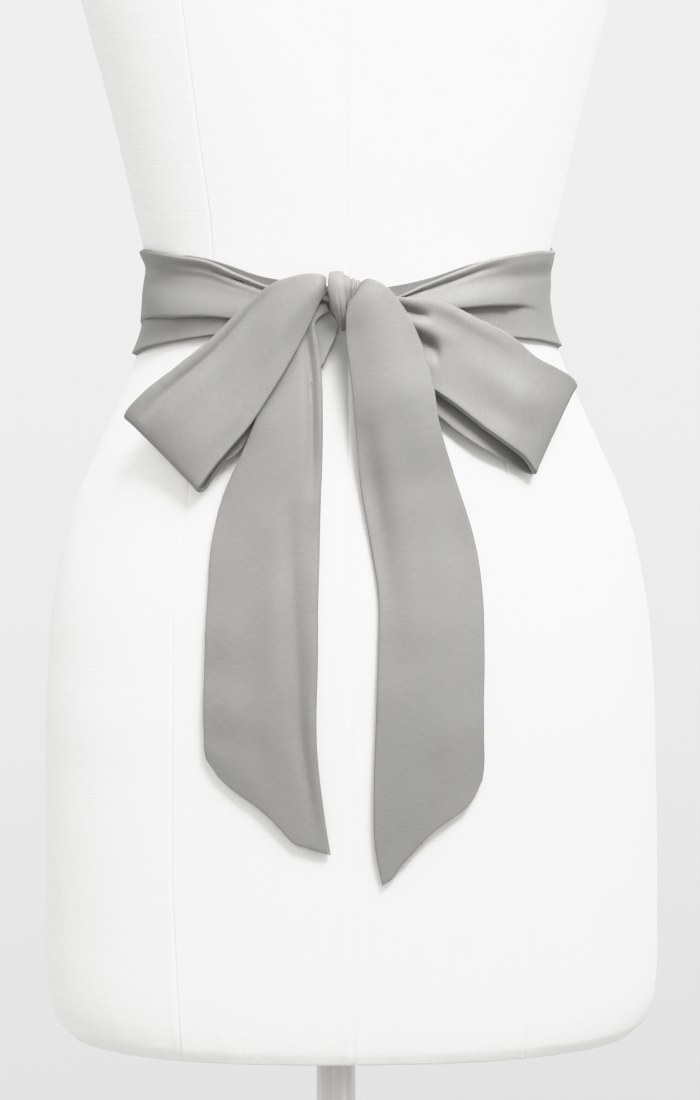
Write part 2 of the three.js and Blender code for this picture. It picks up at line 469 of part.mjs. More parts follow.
const dressed = new THREE.Group();
dressed.position.x = FORM_X;
dressed.add(
  named('form_body', formBody(), linen),
  named('sash_band', clothSolid(bandSurface(), BAND_COLUMNS, 60, CLOTH), satin),
  named('sash_tuck_left', clothSolid(stretch(TUCK_LEFT), evenly(2), 12, CLOTH), satin),
  named('sash_tuck_right', clothSolid(stretch(TUCK_RIGHT), evenly(2), 12, CLOTH), satin),
  named('sash_loop_left', clothSolid(stretch(LOOP_LEFT, { flatFrom: LOOP_FLAT_FROM }), evenly(7), 34, CLOTH), satin),
  named('sash_loop_right',
    clothSolid(stretch(LOOP_RIGHT, { flatFrom: LOOP_FLAT_FROM, folds: LOOP_RIGHT_FOLDS }), evenly(8), 36, CLOTH), satin),
  named('sash_tail_left', clothSolid(stretch(TAIL_LEFT, { folds: TAIL_LEFT_FOLDS, hem: TAIL_LEFT_HEM }), evenly(8), 28, CLOTH), satin),
  named('sash_tail_left_under', clothSolid(stretch(TAIL_LEFT_UNDER), evenly(3), 10, CLOTH), satin),
  named('sash_tail_right', clothSolid(stretch(TAIL_RIGHT, { folds: TAIL_RIGHT_FOLDS, hem: TAIL_RIGHT_HEM }), evenly(8), 28, CLOTH), satin),
  named('knot_core', knotCore(), satin),
  named('knot_wrap', clothSolid(stretch(WRAP), evenly(4), 20, KNOT_CLOTH), satin),
  named('knot_pleats', clothSolid(stretch(PLEATS), evenly(3), 10, CLOTH), satin),
);

const sashOnForm = new THREE.Group();
sashOnForm.add(dressed, named('stand_pole', pole, steel), named('stand_base', base, enamel));

export default sashOnForm;
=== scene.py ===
"""A grey satin sash tied in a bow at the back of a white dress form.

Lengths in the tables are millimetres: x from the form's centre line, z up from the floor or from the
waist line, lift out from the form's back. Every mesh is turned into metres as it is made.
"""
import math

import bpy
import numpy as np
from mathutils import Matrix


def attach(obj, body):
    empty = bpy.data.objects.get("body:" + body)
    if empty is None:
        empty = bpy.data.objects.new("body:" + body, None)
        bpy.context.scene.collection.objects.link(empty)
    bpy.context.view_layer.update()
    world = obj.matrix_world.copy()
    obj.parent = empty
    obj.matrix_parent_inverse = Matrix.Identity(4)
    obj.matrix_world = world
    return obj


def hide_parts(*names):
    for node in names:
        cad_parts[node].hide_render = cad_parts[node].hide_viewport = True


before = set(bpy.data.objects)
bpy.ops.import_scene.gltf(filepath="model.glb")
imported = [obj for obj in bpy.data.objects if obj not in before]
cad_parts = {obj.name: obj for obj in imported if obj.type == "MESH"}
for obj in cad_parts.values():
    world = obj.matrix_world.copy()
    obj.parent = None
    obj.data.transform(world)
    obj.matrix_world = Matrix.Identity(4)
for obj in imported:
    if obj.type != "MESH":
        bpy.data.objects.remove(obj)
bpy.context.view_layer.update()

# ---- Camera ------------------------------------------------------------------------------------
# It stands 2.2 m behind the form, a little above the waist, and looks down at it by a few degrees.
# It is rolled by a hair, because the form leans a little on its stand.
VIEW_DISTANCE = 2.2
VIEW_DOWN = math.radians(5.5)
VIEW_ROLL = math.radians(-0.38)
VIEW_CENTRE = (0.0104, 0.0, 0.878)
SENSOR_WIDTH = 36.0  # mm, as is the lens
LENS = 123.1

camera_data = bpy.data.cameras.new("camera")
camera_data.sensor_width = SENSOR_WIDTH
camera_data.lens = LENS
camera = bpy.data.objects.new("camera", camera_data)
bpy.context.scene.collection.objects.link(camera)
camera.matrix_world = (
    Matrix.Translation(VIEW_CENTRE)
    @ Matrix.Rotation(math.pi / 2 - VIEW_DOWN, 4, "X")
    @ Matrix.Translation((0, 0, VIEW_DISTANCE))
    @ Matrix.Rotation(VIEW_ROLL, 4, "Z")
)
bpy.context.scene.camera = camera

# ---- Floor and studio light --------------------------------------------------------------------
# A pale seamless floor that fades into an even white sky by a painted glow. A soft lamp stands close above in
# front, so its light falls off downwards, and a wide one further off on each side and a small one behind keep
# the other sides from going dull.
FLOOR_COLOUR = (0.46, 0.46, 0.463, 1.0)
SKY_COLOUR = (1.0, 1.0, 1.0, 1.0)
LAMPS = [
    # name, place, aim, size, power, spread in degrees
    ("key_lamp", (0.6, -1.1, 2.6), (0.0, 0.0, 1.3), 1.1, 15.2, 66.0),
    ("left_fill_lamp", (-2.4, -1.8, 3.4), (0.0, 0.0, 1.4), 1.8, 26.0, 140.0),
    ("right_fill_lamp", (2.4, -2.0, 1.9), (0.0, 0.0, 1.0), 1.8, 6.0, 180.0),
    ("back_lamp", (0.4, 2.0, 2.5), (0.0, 0.0, 1.2), 1.1, 8.0, 66.0),
]
# Soft highlights: how bright a surface is, and how bright it is shown.
SHOULDER = [
    (0.0, 0.0), (0.25, 0.25), (0.5, 0.49), (0.75, 0.71), (1.0, 0.862), (1.3, 0.92), (1.7, 0.945),
    (2.4, 0.97),
]
BRIGHTEST = SHOULDER[-1][0]

view = bpy.context.scene.view_settings
view.view_transform = "Standard"
view.use_curve_mapping = True
view.curve_mapping.white_level = (BRIGHTEST, BRIGHTEST, BRIGHTEST)
tone_curve = view.curve_mapping.curves[3]
for bright, shown in SHOULDER[1:-1]:
    tone_curve.points.new(bright / BRIGHTEST, shown)
tone_curve.points[-1].location = (1.0, SHOULDER[-1][1])
view.curve_mapping.update()

sky = bpy.data.worlds.new("studio_sky")
sky.use_nodes = True
sky.node_tree.nodes["Background"].inputs["Color"].default_value = SKY_COLOUR
sky.node_tree.nodes["Background"].inputs["Strength"].default_value = 1.0
bpy.context.scene.world = sky

for name, place, aim, size, power, spread in LAMPS:
    lamp_data = bpy.data.lights.new(name, "AREA")
    lamp_data.shape = "DISK"
    lamp_data.size = size
    lamp_data.energy = power
    lamp_data.spread = math.radians(spread)
    lamp = bpy.data.objects.new(name, lamp_data)
    bpy.context.scene.collection.objects.link(lamp)
    toward = np.array(aim) - np.array(place)
    lamp.location = place
    lamp.rotation_euler = (
        math.atan2(math.hypot(toward[0], toward[1]), -toward[2]),
        0.0,
        math.atan2(toward[1], toward[0]) - math.pi / 2,
    )

FLOOR_RADIUS = 60.0
FLOOR_SIDES = 96
# The floor glows with painted light, an emission of the sky's white: half its colour near the stand, and from
# 2.1 m out the glow takes on the rest as 1 - FADE_DISTANCE / distance, so no horizon shows.
FLOOR_SHARE = 0.5
FADE_DISTANCE = 1.05


class Paint:
    """A new material and its shader, with short ways to make its nodes and join them."""

    def __init__(self, name):
        self.material = bpy.data.materials.new(name)
        self.material.use_nodes = True
        self.nodes = self.material.node_tree.nodes
        self.shader = self.nodes["Principled BSDF"]
        self.join = self.material.node_tree.links.new

    def add(self, kind, **settings):
        """A node, with each setting put on its input of that name or else on the node itself."""
        node = self.nodes.new(kind)
        for key, value in settings.items():
            if key in node.inputs:
                node.inputs[key].default_value = value
            else:
                setattr(node, key, value)
        return node

    def work_out(self, operation, *values):
        """What a math node makes of its values, each a number or another node's output."""
        node = self.add("ShaderNodeMath", operation=operation)
        for socket, value in zip(node.inputs, values):
            if isinstance(value, float):
                socket.default_value = value
            else:
                self.join(value, socket)
        return node.outputs[0]

    def noise(self, place, stretch, **settings):
        """Noise at a place whose x, y and z are multiplied by the three numbers of stretch."""
        mapping = self.add("ShaderNodeMapping", Scale=stretch)
        texture = self.add("ShaderNodeTexNoise", Scale=1.0, **settings)
        self.join(place, mapping.inputs["Vector"])
        self.join(mapping.outputs["Vector"], texture.inputs["Vector"])
        return texture.outputs["Fac"]

    def colour(self, value, dark, light, low=0.0, high=1.0):
        """Base colour that runs from dark to light as the value goes from low to high."""
        tone = self.add("ShaderNodeMapRange", **{"From Min": low, "From Max": high})
        ramp = self.add("ShaderNodeValToRGB")
        ramp.color_ramp.elements[0].color = dark
        ramp.color_ramp.elements[1].color = light
        self.join(value, tone.inputs["Value"])
        self.join(tone.outputs["Result"], ramp.inputs["Fac"])
        self.join(ramp.outputs["Color"], self.shader.inputs["Base Color"])

    def bump(self, height, strength, distance):
        """Relief that follows the height, up to the distance in metres."""
        relief = self.add("ShaderNodeBump", Strength=strength, Distance=distance)
        self.join(height, relief.inputs["Height"])
        self.join(relief.outputs["Normal"], self.shader.inputs["Normal"])


floor_paint = Paint("floor_paint")
floor_paint.shader.inputs["Base Color"].default_value = FLOOR_COLOUR
floor_paint.shader.inputs["Roughness"].default_value = 0.9
floor_place = floor_paint.add("ShaderNodeTexCoord")
floor_distance = floor_paint.add("ShaderNodeVectorMath", operation="LENGTH")
floor_paint.join(floor_place.outputs["Object"], floor_distance.inputs[0])
floor_near = floor_paint.work_out("DIVIDE", FADE_DISTANCE, floor_distance.outputs["Value"])
floor_glow_share = floor_paint.work_out("SUBTRACT", 1.0, floor_paint.work_out("MINIMUM", floor_near, FLOOR_SHARE))
# Painted glow: the sky's white as an emission, mixed into the lit floor, half of it near the stand and more
# further out.
floor_painted_glow = floor_paint.add("ShaderNodeEmission", Color=SKY_COLOUR)
floor_mix = floor_paint.add("ShaderNodeMixShader")
floor_paint.join(floor_glow_share, floor_mix.inputs["Fac"])
floor_paint.join(floor_paint.shader.outputs[0], floor_mix.inputs[1])
floor_paint.join(floor_painted_glow.outputs[0], floor_mix.inputs[2])
floor_paint.join(floor_mix.outputs[0], floor_paint.nodes["Material Output"].inputs["Surface"])

ring = np.linspace(0.0, 2 * math.pi, FLOOR_SIDES, endpoint=False)
floor_rim = np.column_stack([FLOOR_RADIUS * np.cos(ring), FLOOR_RADIUS * np.sin(ring), np.zeros_like(ring)])
floor_mesh = bpy.data.meshes.new("floor")
floor_mesh.from_pydata(floor_rim.tolist(), [], [list(range(FLOOR_SIDES))])
floor_mesh.materials.append(floor_paint.material)
floor = bpy.data.objects.new("floor", floor_mesh)
bpy.context.scene.collection.objects.link(floor)

# ---- Form --------------------------------------------------------------------------------------
# A limbless torso: a hard shell under a close cover of fine white canvas, cut in eight panels. The
# cover's seams run up the centre, the sides and over each shoulder blade and bust.
FORM_X = 10.0
WAIST_Z = 1024.0
FORM_LEVELS = np.array([
    # z, half width, depth behind, depth in front, power of the rounded square
    (597, 166, 110, 88, 2.4),
    (605, 174, 113, 92, 2.4),
    (625, 179, 115.5, 95, 2.4),
    (670, 179.5, 117.5, 96, 2.4),
    (720, 179.3, 119, 97, 2.4),
    (755, 178.7, 120.5, 98, 2.35),
    (790, 177.8, 121, 98, 2.35),
    (815, 176.4, 120.5, 98, 2.3),
    (840, 174.4, 119, 98, 2.3),
    (862, 171, 116.5, 98, 2.3),
    (885, 166.2, 113, 98, 2.25),
    (910, 158.6, 109, 97, 2.2),
    (935, 147.6, 104, 96, 2.2),
    (955, 138.4, 100, 94, 2.2),
    (972, 131, 96.5, 92, 2.2),
    (990, 123.6, 93, 90, 2.2),
    (1010, 117.4, 90, 88, 2.2),
    (1032, 115.4, 88, 88, 2.2),
    (1052, 117.6, 88.6, 89.5, 2.2),
    (1070, 121.6, 90, 93, 2.2),
    (1112, 131, 95, 100, 2.2),
    (1150, 140.2, 99, 108, 2.2),
    (1198, 152.4, 103, 114, 2.2),
    (1240, 159, 105, 113, 2.2),
    (1290, 163, 104.5, 106, 2.2),
    (1340, 170, 100, 97, 2.15),
    (1374, 177, 91, 84, 2.0),
    (1386, 172, 84, 77, 1.9),
    (1400, 142, 75, 68, 1.9),
    (1416, 103, 65, 58, 1.95),
    (1432, 70, 57, 52, 2.0),
    (1450, 56, 53, 50, 2.0),
    (1500, 52, 50, 50, 2.0),
    (1508, 48, 46, 46, 2.0),
], float)
BUST = (76, 1205, 30, 46, 56)  # x and z of its middle, depth, half width and half height


def form_section(z):
    """Half width, depth behind, depth in front and power at height z: a cubic between the two nearest
    levels, whose slope at each level is that of the chord between the levels on either side of it."""
    last = len(FORM_LEVELS) - 1
    i = np.clip(np.searchsorted(FORM_LEVELS[:, 0], z, side="right") - 1, 0, last - 1)
    before, low = FORM_LEVELS[np.maximum(i - 1, 0)], FORM_LEVELS[i]
    high, after = FORM_LEVELS[i + 1], FORM_LEVELS[np.minimum(i + 2, last)]
    step = (high - low)[..., :1]
    t = np.clip((np.asarray(z)[..., None] - low[..., :1]) / step, 0, 1)
    slope_low = (high - before) / (high - before)[..., :1]
    slope_high = (after - low) / (after - low)[..., :1]
    section = (
        (2 * t**3 - 3 * t**2 + 1) * low + (t**3 - 2 * t**2 + t) * step * slope_low
        + (3 * t**2 - 2 * t**3) * high + (t**3 - t**2) * step * slope_high
    )
    return section[..., 1], section[..., 2], section[..., 3], section[..., 4]


def form_point(angle, z, lift=0.0):
    """Point of the form's skin at an angle from the centre back and a height, moved out by lift. The
    section is a rounded square: x and y are the sine and cosine to the power 2/n, times the half sizes,
    and the bust adds a mound on either side of the centre front, a bell curve of x and of z."""
    side, back, front, power = form_section(z)
    s, c = np.sin(angle), np.cos(angle)
    depth = np.where(c > 0, back, front)
    x = side * np.sign(s) * np.abs(s) ** (2 / power)
    y = -depth * np.sign(c) * np.abs(c) ** (2 / power)
    nx = np.sign(x) * np.abs(x / side) ** (power - 1) / side
    ny = np.sign(y) * np.abs(y / depth) ** (power - 1) / depth
    bust_x, bust_z, bust_depth, half_width, half_height = BUST
    mound = np.exp(-((z - bust_z) / half_height) ** 2 - ((np.abs(x) - bust_x) / half_width) ** 2)
    y = y + np.where(c > 0, 0, bust_depth * c * c * mound)
    size = np.maximum(np.hypot(nx, ny), 1e-9)
    return np.stack([x + nx / size * lift, y + ny / size * lift, np.broadcast_to(z, x.shape)], -1)


def new_piece(name, points, faces, uv=None, *, paint):
    """A mesh object at the origin from points in millimetres, set over by the form's offset, and its
    quads. uv, if given, is one (u, v) for each corner of each face, in metres."""
    mesh = bpy.data.meshes.new(name)
    points = (np.asarray(points, float).reshape(-1, 3) + (FORM_X, 0, 0)) / 1000
    faces = np.asarray(faces).reshape(-1, 4)
    mesh.vertices.add(len(points))
    mesh.vertices.foreach_set("co", points.ravel())
    mesh.loops.add(faces.size)
    mesh.loops.foreach_set("vertex_index", faces.ravel())
    mesh.polygons.add(len(faces))
    mesh.polygons.foreach_set("loop_start", np.arange(0, faces.size, 4))
    mesh.polygons.foreach_set("use_smooth", np.ones(len(faces), bool))
    if uv is not None:
        layer = mesh.uv_layers.new(name="cloth")
        layer.data.foreach_set("uv", np.asarray(uv, float).ravel())
    mesh.update(calc_edges=True)
    mesh.validate()
    mesh.materials.append(paint.material)
    piece = bpy.data.objects.new(name, mesh)
    bpy.context.scene.collection.objects.link(piece)
    return piece


def grid_faces(rows, columns):
    """Quads of a grid of points, rows by columns, wrapped round from the last column to the first."""
    j = np.arange(columns)
    k = (j + 1) % columns
    low = np.arange(rows - 1)[:, None] * columns
    high = low + columns
    return np.stack([low + j, low + k, high + k, high + j], -1).reshape(-1, 4)


# Where the cover's seams lie: x from the centre line on the back half, and on the front half.
SEAM_LEVELS = np.array([
    # z, back seam's x, front seam's x
    (597, 97, 76), (700, 101, 80), (850, 99, 82), (950, 86, 76), (1024, 74, 66), (1075, 77, 68),
    (1120, 83, 74), (1200, 92, 78), (1290, 101, 82), (1340, 104, 88), (1374, 100, 84), (1400, 78, 66),
    (1432, 38, 34), (1508, 27, 26),
], float)
SEAM_CLUSTER = np.array([0, 0.0035, 0.007, 0.011, 0.017, 0.028, 0.045])


FORM_BOTTOM, FORM_TOP = FORM_LEVELS[0, 0], FORM_LEVELS[-1, 0]


def form_cover():
    """The cover's points: eight panels between seams, each a share across from one seam to the next and
    a height. The skin moves out by the sum of four terms. The groove is a dip at the seam and a low
    ridge beside it, both bell curves of the distance from it. The pucker is a sine of the height that
    fades away from the seam, the hem is waves round the lower edge that fade upwards, and the slack is
    wide and shallow swells."""
    z = np.concatenate([
        np.linspace(FORM_BOTTOM, 640, 34), np.linspace(643, 1495, 236), np.linspace(1497, FORM_TOP, 10),
    ])
    share = np.concatenate([SEAM_CLUSTER, np.linspace(0.07, 0.93, 15), 1 - SEAM_CLUSTER[:0:-1]])
    panel = np.repeat(np.arange(8), len(share))
    share = np.tile(share, 8)
    side, _, _, power = (v[:, None] for v in form_section(z))
    back_x = np.interp(z, SEAM_LEVELS[:, 0], SEAM_LEVELS[:, 1])[:, None]
    front_x = np.interp(z, SEAM_LEVELS[:, 0], SEAM_LEVELS[:, 2])[:, None]
    back_seam = np.arcsin(np.clip(back_x / side, 0, 0.99) ** (power / 2))
    front_seam = math.pi - np.arcsin(np.clip(front_x / side, 0, 0.99) ** (power / 2))
    quarter = np.full_like(back_seam, math.pi / 2)
    zero = np.zeros_like(back_seam)
    seams = np.concatenate([
        zero, back_seam, quarter, front_seam, zero + math.pi,
        2 * math.pi - front_seam, 2 * math.pi - quarter, 2 * math.pi - back_seam, zero + 2 * math.pi,
    ], 1)
    angle = seams[:, panel] * (1 - share) + seams[:, panel + 1] * share
    from_seam, to_seam = (form_point(seams[:, panel + k], z[:, None]) for k in (0, 1))
    arc = np.linalg.norm(to_seam - from_seam, axis=-1)
    near = np.minimum(share, 1 - share) * arc
    height = z[:, None]
    groove = -0.5 * np.exp(-((near / 0.55) ** 2)) + 0.16 * np.exp(-(((near - 1.9) / 1.1) ** 2))
    pucker = 0.10 * np.exp(-near / 4.5) * np.sin(height / 2.1 + 1.7 * np.sin(height / 17.0 + panel))
    hem = 0.55 * np.exp(-(height - FORM_BOTTOM) / 13.0) * (
        np.sin(angle * 37 + 1.1 * np.sin(angle * 11)) * 0.5
        + np.sin(angle * 83 + 2.0 * np.sin(angle * 7)) * 0.35
    )
    slack = 0.21 * np.sin(angle * 5 + height / 61.0) * np.sin(height / 37.0 + 2 * np.sin(angle * 3))
    return form_point(angle, height, groove + pucker + hem + slack), len(z), len(share)


skin, levels, around = form_cover()
skin = skin.reshape(-1, 3)
# The shell's underside and the neck's top close in rings towards the middle: each one's share of the
# edge's radius, and how far it is above the edge.
UNDERSIDE_RINGS = ((0.985, -0.15), (0.95, -0.1), (0.6, 0), (0.2, 0), (0.002, 0))
TOP_RINGS = ((0.97, 0.5), (0.9, 0.6), (0.5, 0.7), (0.002, 0.7))
lower = [skin[:around] * (share, share, 1) + (0, 0, up) for share, up in UNDERSIDE_RINGS]
upper = [skin[-around:] * (share, share, 1) + (0, 0, up) for share, up in TOP_RINGS]
rings = np.concatenate([*lower[::-1], skin, *upper])
ring_count = levels + len(lower) + len(upper)
form_faces = grid_faces(ring_count, around)

canvas = Paint("form_canvas")
canvas.shader.inputs["Roughness"].default_value = 0.92
canvas.shader.inputs["Specular IOR Level"].default_value = 0.25
canvas.shader.inputs["Sheen Weight"].default_value = 0.15
canvas.shader.inputs["Sheen Roughness"].default_value = 0.6
place = canvas.add("ShaderNodeTexCoord").outputs["Object"]
# Slubs: thick threads, some of them level round the form and some upright.
level_slubs = canvas.noise(place, (60.0, 60.0, 900.0), Detail=3.0, Roughness=0.6)
upright_slubs = canvas.noise(place, (700.0, 700.0, 45.0), Detail=3.0, Roughness=0.6)
slubs = canvas.work_out("ADD", level_slubs, upright_slubs)
canvas.colour(slubs, (0.69, 0.685, 0.672, 1), (0.76, 0.758, 0.75, 1), low=0.55, high=1.45)
canvas.bump(slubs, strength=0.35, distance=0.0004)

form_piece = new_piece("form_cover", rings, form_faces, paint=canvas)
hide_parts("form_body")
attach(form_piece, "root")

# ---- Pole and base -----------------------------------------------------------------------------
# A brushed steel tube that stands in the hub of a round, white-enamelled base plate.
POLE_RADIUS = 11.5
BASE_PROFILE = [
    # radius, z
    (0.02, 0.0), (150, 0), (202.5, 0), (204.2, 0.6), (205, 2), (205, 5), (204.3, 6.4), (202.5, 7),
    (195, 7.4), (140, 10), (90, 12.9), (60, 15), (40, 16.8), (30, 18.2), (25, 20), (22.2, 23), (21, 27),
    (21, 40), (21, 59.5), (20.5, 61.4), (19, 62), (14, 62), (12.4, 61.8), (11.9, 61), (11.9, 40),
    (11.9, 12), (0.02, 12),
]
POLE_PROFILE = [
    (0.02, 12.4), (POLE_RADIUS - 0.3, 12.4), (POLE_RADIUS, 12.8), (POLE_RADIUS, 150), (POLE_RADIUS, 400),
    (POLE_RADIUS, 596.4), (POLE_RADIUS - 0.3, 596.7), (0.02, 596.7),
]


def turned(profile, sides):
    """Rings of a profile of (radius, z) carried round the pole's axis, and their quads."""
    turn = np.linspace(0, 2 * math.pi, sides, endpoint=False)
    radius, z = np.array(profile, float).T
    radius, z = radius[:, None], np.repeat(z[:, None], sides, 1)
    points = np.stack([radius * np.cos(turn) - FORM_X, radius * np.sin(turn), z], -1)
    return points, grid_faces(len(profile), sides)


steel = Paint("pole_steel")
steel.shader.inputs["Metallic"].default_value = 1.0
steel.shader.inputs["Roughness"].default_value = 0.34
place = steel.add("ShaderNodeTexCoord").outputs["Object"]
grain = steel.noise(place, (900.0, 900.0, 6.0), Detail=4.0)
steel.colour(grain, (0.5, 0.485, 0.475, 1), (0.66, 0.645, 0.635, 1))
steel.bump(grain, strength=0.12, distance=0.0002)

enamel = Paint("base_enamel")
enamel.shader.inputs["Roughness"].default_value = 0.38
place = enamel.add("ShaderNodeTexCoord").outputs["Object"]
orange_peel = enamel.noise(place, (420.0, 420.0, 420.0), Detail=2.0)
scuffs = enamel.noise(place, (18.0, 18.0, 18.0), Detail=5.0, Roughness=0.7)
enamel.colour(scuffs, (0.8, 0.8, 0.79, 1), (0.86, 0.86, 0.855, 1))
enamel.bump(orange_peel, strength=0.08, distance=0.0003)

pole_points, pole_faces = turned(POLE_PROFILE, 72)
pole_piece = new_piece("pole_tube", pole_points, pole_faces, paint=steel)
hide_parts("stand_pole")
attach(pole_piece, "root")
base_points, base_faces = turned(BASE_PROFILE, 144)
base_piece = new_piece("base_plate", base_points, base_faces, paint=enamel)
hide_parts("stand_base")
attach(base_piece, "root")

# ---- Satin -------------------------------------------------------------------------------------
# The sash's cloth: a mid-weight grey satin, its threads floating along the sash, with a low sheen.
# Fine ribs run across it on a slant.
RIB_SLANT = math.radians(27)
RIB_SHARE = 0.25

satin = Paint("grey_satin")
satin.shader.inputs["Roughness"].default_value = 0.58
satin.shader.inputs["Specular IOR Level"].default_value = 0.35
satin.shader.inputs["Sheen Weight"].default_value = 0.04
satin.shader.inputs["Sheen Roughness"].default_value = 0.4
satin.shader.inputs["Sheen Tint"].default_value = (0.92, 0.92, 0.88, 1)
cloth = satin.add("ShaderNodeUVMap", uv_map="cloth").outputs["UV"]
rib_map = satin.add("ShaderNodeMapping", Rotation=(0, 0, RIB_SLANT))
ribs = satin.add("ShaderNodeTexWave", Scale=330.0, Distortion=1.2, Detail=2.0, **{"Detail Scale": 2.0})
satin.join(cloth, rib_map.inputs["Vector"])
satin.join(rib_map.outputs["Vector"], ribs.inputs["Vector"])
floats = satin.noise(cloth, (2600.0, 260.0, 1.0), Detail=2.0, Roughness=0.55)
crosses = satin.noise(cloth, (120.0, 1500.0, 1.0), Detail=2.0, Roughness=0.55)
threads = satin.work_out("ADD", floats, crosses)
weave = satin.work_out("MULTIPLY_ADD", ribs.outputs["Fac"], RIB_SHARE, threads)
satin.colour(weave, (0.163, 0.162, 0.153, 1), (0.220, 0.219, 0.207, 1), low=0.6, high=1.7)
satin.bump(weave, strength=0.25, distance=0.00015)

# ---- Waist band --------------------------------------------------------------------------------
# The sash's turn round the waist: a flat tube of two plies sewn along both edges, drawn in towards
# the knot at the back, where each side gathers into a pleat.
HALF_THICK = 0.8
CLOTH_WALL = 0.42
# Across the sewn edge, from the bottom of the seam's groove round the lip and in over the flat: how
# far in from the edge, how much the seam's turnings raise the cloth, and how far open the tube is.
EDGE_OUTSIDE = np.array([
    (0.75, 0.0, 0.0), (0.4, 0.1, 0.2), (0.1, 0.25, 0.5), (0.0, 0.35, 0.72), (0.15, 0.42, 0.9),
    (0.5, 0.45, 0.98), (1.1, 0.45, 1.0), (2.2, 0.36, 1.0), (3.6, 0.2, 1.0), (5.2, 0.09, 1.0),
    (7.0, 0.03, 1.0), (9.0, 0.0, 1.0),
])
EDGE_INSIDE = np.array([
    (1.0, 0.0, 0.0), (1.02, 0.1, 0.2), (1.06, 0.25, 0.4), (1.12, 0.35, 0.6), (1.25, 0.42, 0.8),
    (1.5, 0.45, 0.95), (2.0, 0.4, 1.0), (3.0, 0.3, 1.0), (4.2, 0.18, 1.0), (5.6, 0.08, 1.0),
    (7.2, 0.03, 1.0), (9.0, 0.0, 1.0),
])
EDGE_ZONE = 9.0  # how wide the edge path is, from the edge in
NARROW = 26.0  # a tube narrower than this has its edge path scaled down with it
ROLLED = 1.15  # how far in the front ply's edge lies where the seam has rolled to the back
PUCKERS = 0.07  # height of the ripples along a seam
SLACK_SIZE = 34.0  # length of the cloth's slack swells
FAR_FROM_EDGE = 60.0  # where no pucker is left
FULL_TURN = 6.28  # range of a wave's start


def row_curve(rows, column, t):
    """Smooth curve through one column of a table: t runs from 0 at its first row to 1 at its last, and
    between two rows the value is the Catmull-Rom cubic of the four nearest."""
    values = np.array([row[column] for row in rows], float)
    s = np.clip(t, 0, 1) * (len(values) - 1)
    i = np.minimum(s.astype(int), len(values) - 2)
    f = s - i
    p0, p1 = values[np.maximum(i - 1, 0)], values[i]
    p2, p3 = values[i + 1], values[np.minimum(i + 2, len(values) - 1)]
    square, cube = 2 * p0 - 5 * p1 + 4 * p2 - p3, 3 * p1 - p0 - 3 * p2 + p3
    return 0.5 * (2 * p1 + (p2 - p0) * f + square * f**2 + cube * f**3)


def smooth_step(value, start, end):
    """0 before start, 1 after end, and the cubic 3t^2 - 2t^3 between."""
    t = np.clip((value - start) / (end - start), 0, 1)
    return t * t * (3 - 2 * t)


def slack_waves(u, v, seed, size, depth):
    """Shallow unevenness of cloth at rest: a third of the sum of six sine waves of about one size (mm)
    that run in different directions, so that no two swells are alike."""
    rng = np.random.default_rng(seed)
    total = 0.0
    turns, longer, starts = rng.uniform(0, math.pi, 6), rng.uniform(0.7, 1.5, 6), rng.uniform(0, FULL_TURN, 6)
    for turn, share, start in zip(turns, longer, starts):
        along_wave = u * math.cos(turn) + v * math.sin(turn)
        total = total + np.sin(along_wave * 2 * math.pi / (size * share) + start)
    return depth * total / 3


def seam_pucker(from_edge, v, seed, depth):
    """The small ripples that stitching draws along an edge: a sine wave whose length wanders between 8
    and 35 mm, fading away from the edge by the exponential of -distance/3.5."""
    rng = np.random.default_rng(seed)
    a, b = rng.uniform(0, FULL_TURN, 2)
    wander = 2.3 * np.sin(v / 17.0 + a) + 1.3 * np.sin(v / 7.1 + b)
    return depth * np.exp(-np.abs(from_edge) / 3.5) * np.sin(v * 0.5 + wander)


def slopes(middle, across, along):
    """Change of the middle surface for a unit of across and of along, by central differences."""
    h = 1e-4
    by_across = (middle(across + h, along) - middle(across - h, along)) / (2 * h)
    by_along = (middle(across, along + h) - middle(across, along - h)) / (2 * h)
    return by_across, by_along


